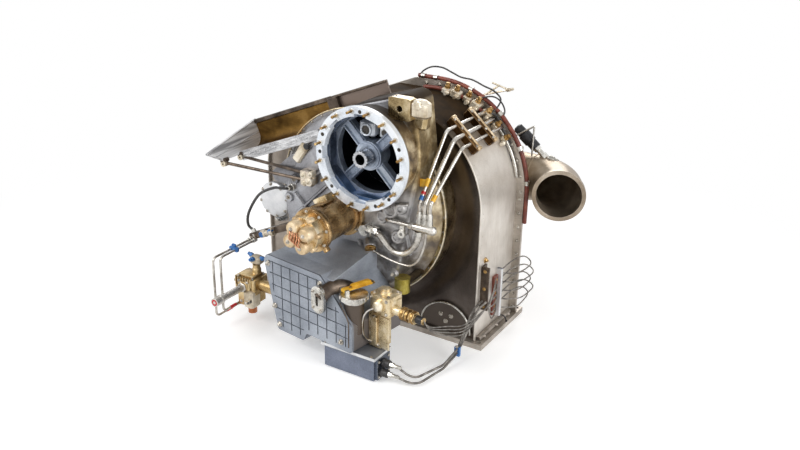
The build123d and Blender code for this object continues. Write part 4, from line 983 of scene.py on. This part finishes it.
def manifold_details():
    """Coupling nuts of the shoulder pipes, and the tube that gathers them."""
    nuts = Piece("pipe_nuts", "plated_steel")
    for x in PIPE_XS:
        nuts.turned((x, -140, 393), UP, [(0, 8.6), (11, 8.6), (12, 7.4)], 6)
        nuts.turned((x, -140, 410), UP, [(0, 8.4), (9, 8.4), (11, 6.5), (16, 6)], 6)
    nuts.turned((250, -145, 372), -UP, [(0, 11), (12, 11), (13, 9), (18, 8.4)], 6)
    nuts.turned((100, -146, 342), (1, -0.1, -0.15), [(0, 17), (16, 17), (18, 13), (28, 11)], 6)
    nuts.turned((152, -130, 382), TOWARDS, [(0, 11), (7, 11), (8, 8)], 6)
    nuts.turned((222, -143, 382), RIGHT, [(0, 9), (12, 9), (14, 11)], 6)
    rail = Piece("manifold_tube", "pipe_steel")
    rail.bent([(152, -128, 382), (153, -138, 382), (162, -143, 382), (190, -143, 382), (236, -143, 382)], 6, 16)
    rail.turned((234, -143, 382), RIGHT, [(0, 8), (3, 11.5), (59, 11.5), (62, 10), (66, 5)], 24)


def on_pipe(index, share):
    """A place on the sloping run of a shoulder pipe, and the way down it."""
    top, low = clamp_at((index - 1) * 30, -26, 14), Vector((PIPE_XS[index], -140, 448))
    return top.lerp(low, share), (low - top).normalized()


def pipe_band_details():
    """Colour bands on the shoulder pipes, and a blank yellow tag."""
    yellow = Piece("pipe_bands_yellow", "lever_yellow")
    blue = Piece("pipe_band_blue", "clamp_blue")
    red = Piece("pipe_band_red", "band_red")
    marks = ((yellow, 0, 0.72, 22), (yellow, 2, 0.88, 18), (blue, 0, 0.93, 12), (red, 0, 0.86, 8))
    for piece, index, share, length in marks:
        middle, along = on_pipe(index, share)
        piece.run([middle - along * length / 2, middle + along * length / 2], 6.2, 18)
    yellow.block(by(on_pipe(0, 0.72)[0], -11, -3, -2), (19, 1.6, 22), 0.5)


def clamp_details():
    """Bolts, edges and saddles of the clamp bars on the shoulder."""
    bolts = Piece("clamp_bolts", "bolt_steel")
    caps = Piece("clamp_edges", "cream_tan", "clamp_bronze")
    sides = Piece("clamp_saddles", "clamp_bronze")
    for y in CLAMP_YS:
        bolts.bolts([clamp_at(x, y - 7, 22) for x in (-45, -15, 15, 45)], CLAMP_OUT, 3)
        caps.block(clamp_at(0, y, 23), (112, 8, 4), 1.5, CLAMP_TURN)
        for x in (-52, 52):
            caps.block(clamp_at(x, y, 19), (10, 20, 12), 2.5, CLAMP_TURN)
        sides.block(clamp_at(0, y - 1, 10), (112, 23, 24), 2, CLAMP_TURN)


def oil_pipe_details():
    """Return pipe, thin pipe, oil boss and eyelet below the manifold."""
    oil = Piece("oil_pipe", "pipe_steel")
    oil.bent([(112, -145, 342), (134, -148, 338), (154, -150, 320), (174, -150, 304), (198, -149, 299),
              (222, -147, 308), (240, -145, 328), (249, -145, 350), (250, -145, 372)], 8.5, 16)
    thin = Piece("thin_return", "pipe_steel")
    thin.bent([(118, -150, 288), (148, -150, 279), (196, -150, 271), (232, -150, 274), (256, -150, 296),
               (270, -148, 336), (274, -146, 373)], 3.2, 10)
    base, aim = Vector((92, -126, 302)), Vector((0.5, -0.72, -0.48))
    Piece("oil_boss", "cast_alloy").turned(base, aim, [(0, 17), (24, 17), (26, 15)], 28)
    gold = Piece("oil_boss_cap", "stud_brass")
    gold.turned(base + aim.normalized() * 25, aim, [(0, 15.5), (5, 15.5), (6, 13), (10, 13), (11, 11)], 24)
    eye = Piece("pipe_eyelet", "plated_steel")
    eye.hoop((204, -151, 356), TOWARDS, band(3, 4.5, 11), 24)
    eye.block((204, -147, 370), (13, 8, 16), 1)


def gearbox_details():
    """Casting ribs, bosses and bolts on the gearbox and its rim."""
    ribs = Piece("casting_ribs", "cast_alloy")
    for x0, z0, x1, z1 in CASTING_RIBS:
        first, last = Vector((x0, FRONT - 5, z0)), Vector((x1, FRONT - 5, z1))
        tilt = about_y(-math.atan2(z1 - z0, x1 - x0))
        ribs.block((first + last) / 2, ((last - first).length, 12, 9), 2.5, tilt)
    for x, z in CASTING_BOSSES:
        ribs.turned((x, FRONT + 2, z), TOWARDS, [(0, 15), (8, 13), (10, 12)], 24)
    for x, z, radius in ((160, 408, 24), (192, 418, 17), (136, 384, 19), (184, 338, 20)):
        cup = [(0, radius), (10, radius - 1), (14, radius - 4), (14, radius - 9), (9, radius - 10)]
        ribs.turned((x, FRONT + 2, z), TOWARDS, cup, 32)
    bolts = Piece("gearbox_bolts", "bolt_steel")
    bolts.bolts([(x, FRONT - 8, z) for x, z in CASTING_BOSSES], TOWARDS, 4.6)
    bolts.bolts(round_places(40, 263, on_axis(-30), 0.05), TOWARDS, 2.8, False)
    rim = Piece("rim_bead", "pale_gold")
    rim.hoop(on_axis(-30), TOWARDS, [(-3, 266), (-3, 269.5), (3, 269.5), (4, 267.5), (3, 266)], 120)


def mount_details():
    """Mount block and arm on the gearbox's top, and the wing with its lug on the left."""
    boss = Piece("mount_block", "gold_alloy")
    boss.holed((195, -157, 686), (31, 28), 9, 27)
    boss.bolt((176, -140, 710), UP, 3.2)
    boss.block((232, -112, 660), (46, 34, 60), 9, about_y(math.radians(10)))
    arm = Piece("mount_arm", "cream_cast", "gold_alloy")
    arm.block((247, -140, 690), (48, 34, 46), 8)
    arm.turned((247, -150, 702), TOWARDS, [(0, 11), (10, 11), (12, 9)], 6)
    arm.bolt((247, -138, 711), UP, 2.6)
    outline = [(-238, 430), (-176, 486), (-84, 548), (-60, 520), (-74, 440), (-140, 398), (-226, 408)]
    Piece("gearbox_wing", "cast_alloy").skin([[(x, y, z) for x, z in outline] for y in (-92, -126)])
    Piece("wing_lug", "cream_cast", "gold_alloy").block((-128, -132, 508), (26, 14, 62), 4, about_y(math.radians(34)))
    Piece("wing_plug", "black_rubber").turned((-104, -134, 532), TOWARDS, [(0, 9), (7, 9), (8, 7)], 8)


def plenum_details():
    """Edge bead, flange bolts, rivets, cover fittings and feet of the inlet plenum."""
    Piece("plenum_bead", "wrapper_sheet").run([place for place, _ in arch_line(-1.5, 0.5, 18, 18, 48)], 2.4, 10)
    bolts = Piece("flange_bolts", "bolt_steel")
    for place, _ in arch_line(12, DEPTH, 42, 34, 38):
        bolts.bolt(by(place, 0, 8, 0), BACKWARDS, 4)
        if (place - scoop_at(0, 0, 37)).dot(SCOOP_UP) < 0:
            bolts.bolt(place, TOWARDS, 4)
    rivets = Piece("plenum_rivets", "wrapper_sheet")
    for place, out in arch_line(0, 14, 26, 40):
        rivets.turned(place, out, [(0, 2.6), (0.7, 2.4), (1.3, 1.2)], 10)
    cover = Piece("cover_rim", "plated_steel")
    cover.run([Vector((261, 1, 29)) + ray(math.pi * i / 28, 78) for i in range(29)], 2.8, 12)
    Piece("cover_nuts", "bolt_steel").bolts([(x, 2, z) for x, z in ((246, 70), (278, 70), (262, 50))], TOWARDS, 5)
    feet = Piece("foot_angles", "plain_steel")
    for side in (-1, 1):
        feet.block((side * 362, 107, 22), (14, 200, 12), 3)
        feet.bolts([(side * 369, y, 22) for y in (30, 107, 184)], RIGHT * side, 4)


def arch_wire_details():
    """Clips, wires and the brown conduit over the arch."""
    clips = Piece("conduit_clips", "plated_steel")
    for x in (46, 86):
        clips.hoop((x, CONDUIT_Y, 675), RIGHT, band(6, 6, 8), 20)
        clips.block((x, 228, 672), (10, 14, 3), 0.8)
    for angle in (20, 42, 64, 84):
        place = arch_point(angle, 30, CONDUIT_Y)
        clips.hoop(place, arch_point(angle + 1, 30, CONDUIT_Y) - place, band(6, 6, 8), 20)
        clips.turned(place, BACKWARDS, [(4, 5), (14, 5), (15, 4)], 12)
    loops = Piece("arch_wires", "wire_dark")
    loops.bent([(34, 219, 678), (44, 226, 690), (66, 232, 701), (98, 234, 702), (132, 232, 692), (160, 230, 684),
                (196, 228, 682), (232, 228, 670), (262, 230, 660), (286, 226, 640), (276, 214, 612),
                (262, 204, 606)], 2.4)
    loops.bent([(230, 205, 640), (262, 222, 646), (284, 230, 634), (300, 226, 610), (296, 214, 586)], 2.2)
    loops.bent([(262, 196, 608), (284, 206, 600), (300, 206, 576), (316, 206, 552), (330, 208, 520),
                (338, 208, 480)], 3.0)
    Piece("arch_conduit", "strip_brown").bent([arch_point(a, 9, 192) for a in range(-8, 40, 6)], 6, 12)


def arch_fitting_details():
    """Fittings, nuts, rods, sleeves and the exciter's plug round the right shoulder."""
    cream = Piece("arch_fittings", "cream_cast", "pale_gold")
    gold = Piece("arch_nuts", "stud_brass")
    for angle, y, size in ARCH_FITTINGS:
        out = arch_point(angle, 1, 0) - arch_point(angle, 0, 0)
        cream.block(arch_point(angle, size[2] / 2, y), size, 3, about_y(math.radians(angle)))
        gold.turned(arch_point(angle, size[2], y - 3), out, [(0, 9), (7, 9), (8, 6.5), (15, 6.5), (16, 4)], 6)
        side = arch_point(angle + 2, size[2] / 2, y - size[1] / 2)
        cream.turned(side, TOWARDS, [(0, 7), (8, 7), (10, 5), (18, 5)], 14)
    cream.run([(185, 224, 630), (302, 240, 667)], 2.6)
    cream.run([(216, 224, 630), (274, 240, 676)], 2.6)
    cream.run([(302, 240, 667), (252, 238, 680)], 2.6)
    cream.turned((296, 240, 665), (0.95, 0, 0.3), [(0, 5.5), (10, 5.5), (11, 4), (20, 4)], 6)
    sleeve = Piece("arch_sleeves", "plated_steel")
    sleeve.bent([arch_point(a, 7, 206) for a in range(44, 86, 6)], 4.5, 12)
    sleeve.run([(299, 303, 518), (358, 303, 558)], 2.8)
    sleeve.run([(358, 303, 558), (357, 303, 470)], 2.8)
    sleeve.turned((362, 318, 493), (0.78, 0, -0.63), [(0, 11), (10, 11), (12, 8), (26, 8), (27, 11), (40, 11)], 6)
    sleeve.turned((404, 312, 472), (0.9, 0, -0.2), [(0, 9), (16, 9), (18, 7), (28, 7), (30, 5)], 16)
    shell = [(0, 15), (22, 15), (24, 18), (52, 18), (54, 15), (78, 14), (82, 9)]
    Piece("exciter_plug", "black_rubber").turned((363, 318, 492), (-0.78, 0, 0.63), shell, 24)


def harness_details():
    """Plate, screws, wires and tie of the harness on the right side."""
    Piece("harness_plate", "lip_white").block((362.6, 124, 118), (16, 9, 150), 1.5)
    screws = Piece("harness_screws", "stud_brass")
    screws.bolts([(361.7, 104, z) for z in range(66, 176, 14)], RIGHT, 3.2, False)
    screws.bolts([(367, 18, z) for z in (120, 172, 224)], TOWARDS, 3.6)
    screws.bolt((354.7, 40, 247), RIGHT, 6)
    wires = Piece("harness_wires", "lead_sheath")
    for i, (rise, out) in enumerate(((212, 18), (188, 27), (164, 20), (140, 29), (116, 16))):
        drop = rise - 46 - 3 * i
        wires.bent([(367, 126, rise - 24), (384, 156, rise - 4), (394 + out / 2, 184, rise + 4),
                    (396 + out, 206, rise - 12), (398 + out, 210, rise - 30), (390 + out / 2, 188, drop),
                    (382, 156, drop + 2), (367, 126, drop + 12)], 1.9)
    for i, z in enumerate((82, 98, 116, 134, 152)):
        wires.bent([(365, 104, z), (374, 84, z - 6), (378, 50, z - 10 + 2 * i), (378, 20, 128 - 3 * i)], 1.8)
    links = Piece("sensor_wires", "lead_sheath")
    for i in range(4):
        sag = 9 * i
        links.bent([sump_at(328, 87, 188 + 3 * i), sump_at(344, 100, 176 - 4 * i), (360, -176, 146 - sag),
                    (372, -110, 122 - sag), (378 - 3 * i, -40, 120 - sag), (380, 30, 126 + 2 * i),
                    (366, 96, 146 + 10 * i)], 1.4)
    tie = Piece("cable_tie", "black_rubber")
    tie.hoop((366, 150, 20), BACKWARDS, band(2, 12, 14), 24)
    tie.block((381, 150, 18), (6, 5, 6), 1)


def case_details():
    """Flange bolts, fuel manifold, nozzles and weld rings of the hot section."""
    bolts = Piece("case_bolts", "bolt_steel")
    bolts.bolts(round_places(36, 223, on_axis(235)), BACKWARDS, 3.6)
    for place in round_places(36, 223, on_axis(413)):
        bolts.bolt(place, BACKWARDS, 3.6)
        bolts.bolt(by(place, 0, -12, 0), TOWARDS, 3.6)
    bolts.bolts(round_places(28, 148, on_axis(635)), TOWARDS, 3)
    section = [(4 * math.cos(math.pi * i / 5), 240 + 4 * math.sin(math.pi * i / 5)) for i in range(10)]
    Piece("fuel_manifold", "pipe_steel").hoop(on_axis(252), BACKWARDS, section, 120)
    nozzles = Piece("fuel_nozzles", "bolt_steel")
    for out in round_places(12, 1, (0, 0, 0), 0.2):
        if out.z <= 0.6 or out.x >= 0.2:
            base = on_axis(252) + out * 213
            nozzles.turned(base, out, [(0, 15), (7, 15), (8, 12), (14, 12)], 6)
            nozzles.turned(base, out, [(0, 8), (24, 8), (26, 10), (36, 10), (37, 8)], 14)
    welds = Piece("weld_rings", "hot_steel")
    for y, radius in ((444, 158.6), (474, 152.3), (504, 146.1)):
        section = [(-6, radius + 1), (-4, radius + 3.5), (4, radius + 2), (6, radius - 1)]
        welds.hoop(on_axis(y), BACKWARDS, section, 96)
    welds.hoop(on_axis(560), BACKWARDS, [(-3, 139), (-2, 142.5), (2, 142.5), (3, 139)], 96)
    for y in (290, 350):
        welds.hoop(on_axis(y), BACKWARDS, [(-4, 213), (-2, 216), (2, 216), (4, 213)], 120)
    welds.hoop((228, 318, 404), RIGHT, [(-7, 64), (-7, 70), (7, 69), (7, 64)], 72)
    welds.hoop((365, 318, 404), RIGHT, [(-2, 65), (0, 67.8), (2, 65)], 72)


def rear_wall_details():
    """Stiffening beads on the rear wall, kept inside its outline, and probes round the exhaust."""
    inner, middle = 250, on_axis(224)
    beads = Piece("wall_beads", "plain_steel")
    for angle in (20, 52, 128, 160, 200, 232, 308, 340):
        out = ray(math.radians(angle))
        longest = 330 if 45 < angle < 135 or angle > 225 else 345
        height = 300 if out.z > 0 else 330
        reach = min(longest, 350 / max(abs(out.x), 0.01), height / max(abs(out.z), 0.01))
        lean = out.dot(SCOOP_UP)
        if lean > 0:
            reach = min(reach, 268 / lean)
        if reach > inner + 10:
            beads.run([middle + out * inner, middle + out * reach], 6, 12)
    probes = Piece("exhaust_probes", "plated_steel")
    for out in round_places(6, 1, (0, 0, 0), 0.5):
        probes.turned(on_axis(520) + out * 142, out, [(0, 9), (8, 9), (9, 6), (22, 6), (23, 4)], 6)


def add_camera():
    """The photograph's viewpoint."""
    turn, rise, roll = (math.radians(a) for a in CAMERA_ANGLES)
    back = Vector((math.sin(turn) * math.cos(rise), -math.cos(turn) * math.cos(rise), math.sin(rise)))
    right = Vector((math.cos(turn), math.sin(turn), 0))
    up = back.cross(right)
    tilted = right * math.cos(roll) + up * math.sin(roll)
    upright = up * math.cos(roll) - right * math.sin(roll)
    camera = bpy.data.objects.new("camera", bpy.data.cameras.new("camera"))
    camera.data.sensor_width = SENSOR_WIDTH
    camera.data.lens = CAMERA_LENS
    camera.data.clip_end = 100
    aim = Matrix((tilted, upright, back)).transposed().to_4x4()
    camera.matrix_world = Matrix.Translation(CAMERA_PLACE) @ aim
    bpy.context.scene.collection.objects.link(camera)
    bpy.context.scene.camera = camera


def add_light(name, place, aim, size, power):
    """A soft rectangular lamp, aimed at a place."""
    lamp = bpy.data.lights.new(name, "AREA")
    lamp.shape = "RECTANGLE"
    lamp.size, lamp.size_y = size
    lamp.energy = power
    holder = bpy.data.objects.new(name, lamp)
    holder.location = place
    holder.rotation_euler = (Vector(aim) - Vector(place)).to_track_quat("-Z", "Y").to_euler()
    bpy.context.scene.collection.objects.link(holder)


def add_world():
    """White surround: plain white to the eye and in mirrors, and dimmer overhead as a light."""
    world = bpy.data.worlds.new("studio")
    bpy.context.scene.world = world
    shade = Shade(world)
    rays = shade.add("ShaderNodeLightPath").outputs
    seen = shade.most(rays["Is Camera Ray"], shade.most(rays["Is Glossy Ray"], rays["Is Transmission Ray"]))
    height = shade.add("ShaderNodeSeparateXYZ", {0: shade.spots["Generated"]}).outputs["Z"]
    sky = shade.add("ShaderNodeMapRange", dict(enumerate((height, *SKY_HEIGHTS, *SKY_STRENGTHS)))).outputs[0]
    strength = shade.add("ShaderNodeMix", {0: seen, 2: sky, 3: 1.0}, data_type="FLOAT").outputs[0]
    light = shade.add("ShaderNodeBackground", {"Color": WHITE, "Strength": strength})
    shade.add("ShaderNodeOutputWorld", {"Surface": light.outputs[0]})


def add_floor():
    """Pale floor that fades into the white surround."""
    data = bpy.data.meshes.new("floor")
    corners = ((-1, -1), (1, -1), (1, 1), (-1, 1))
    data.from_pydata([(x * FLOOR_HALF, y * FLOOR_HALF, 0) for x, y in corners], [], [(0, 1, 2, 3)])
    floor = bpy.data.objects.new("floor", data)
    bpy.context.scene.collection.objects.link(floor)
    shade = Shade(bpy.data.materials.new("floor"))
    pale = shade.tones(3.0, (0.3, 238, 238, 238), (0.7, 244, 244, 244))
    rays = shade.add("ShaderNodeLightPath").outputs
    glow = shade.times(shade.most(rays["Is Camera Ray"], rays["Is Glossy Ray"]), FLOOR_GLOW)
    surface = shade.add("ShaderNodeBsdfPrincipled", {
        "Base Color": pale, "Roughness": 0.9, "Emission Color": WHITE, "Emission Strength": glow,
    })
    white = shade.add("ShaderNodeEmission", {"Strength": 1.0})
    far = shade.add("ShaderNodeVectorMath", {0: shade.place}, operation="LENGTH").outputs["Value"]
    fade = shade.times(shade.span(far, *FLOOR_FADE), rays["Is Camera Ray"])
    blend = shade.add("ShaderNodeMixShader", {0: fade, 1: surface.outputs[0], 2: white.outputs[0]})
    shade.add("ShaderNodeOutputMaterial", {"Surface": blend.outputs[0]})
    data.materials.append(shade.owner)


dress_nodes()
add_camera()
for lamp in LAMPS:
    add_light(*lamp)
add_world()
add_floor()
for details in (
    ring_details, pickup_details, spider_details, starter_details, sump_details, lever_details, valve_details,
    igniter_details, control_details, fuel_tube_details, air_valve_details, scoop_details, manifold_details,
    pipe_band_details, clamp_details, oil_pipe_details, gearbox_details, mount_details, plenum_details,
    arch_wire_details, arch_fitting_details, harness_details, case_details, rear_wall_details,
):
    details()
shown = {piece.name: piece.settle() for piece in Piece.made}
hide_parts("valve_hose")
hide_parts("pipe_manifold")
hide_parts("return_pipe")
bpy.context.scene.view_settings.view_transform = "Standard"
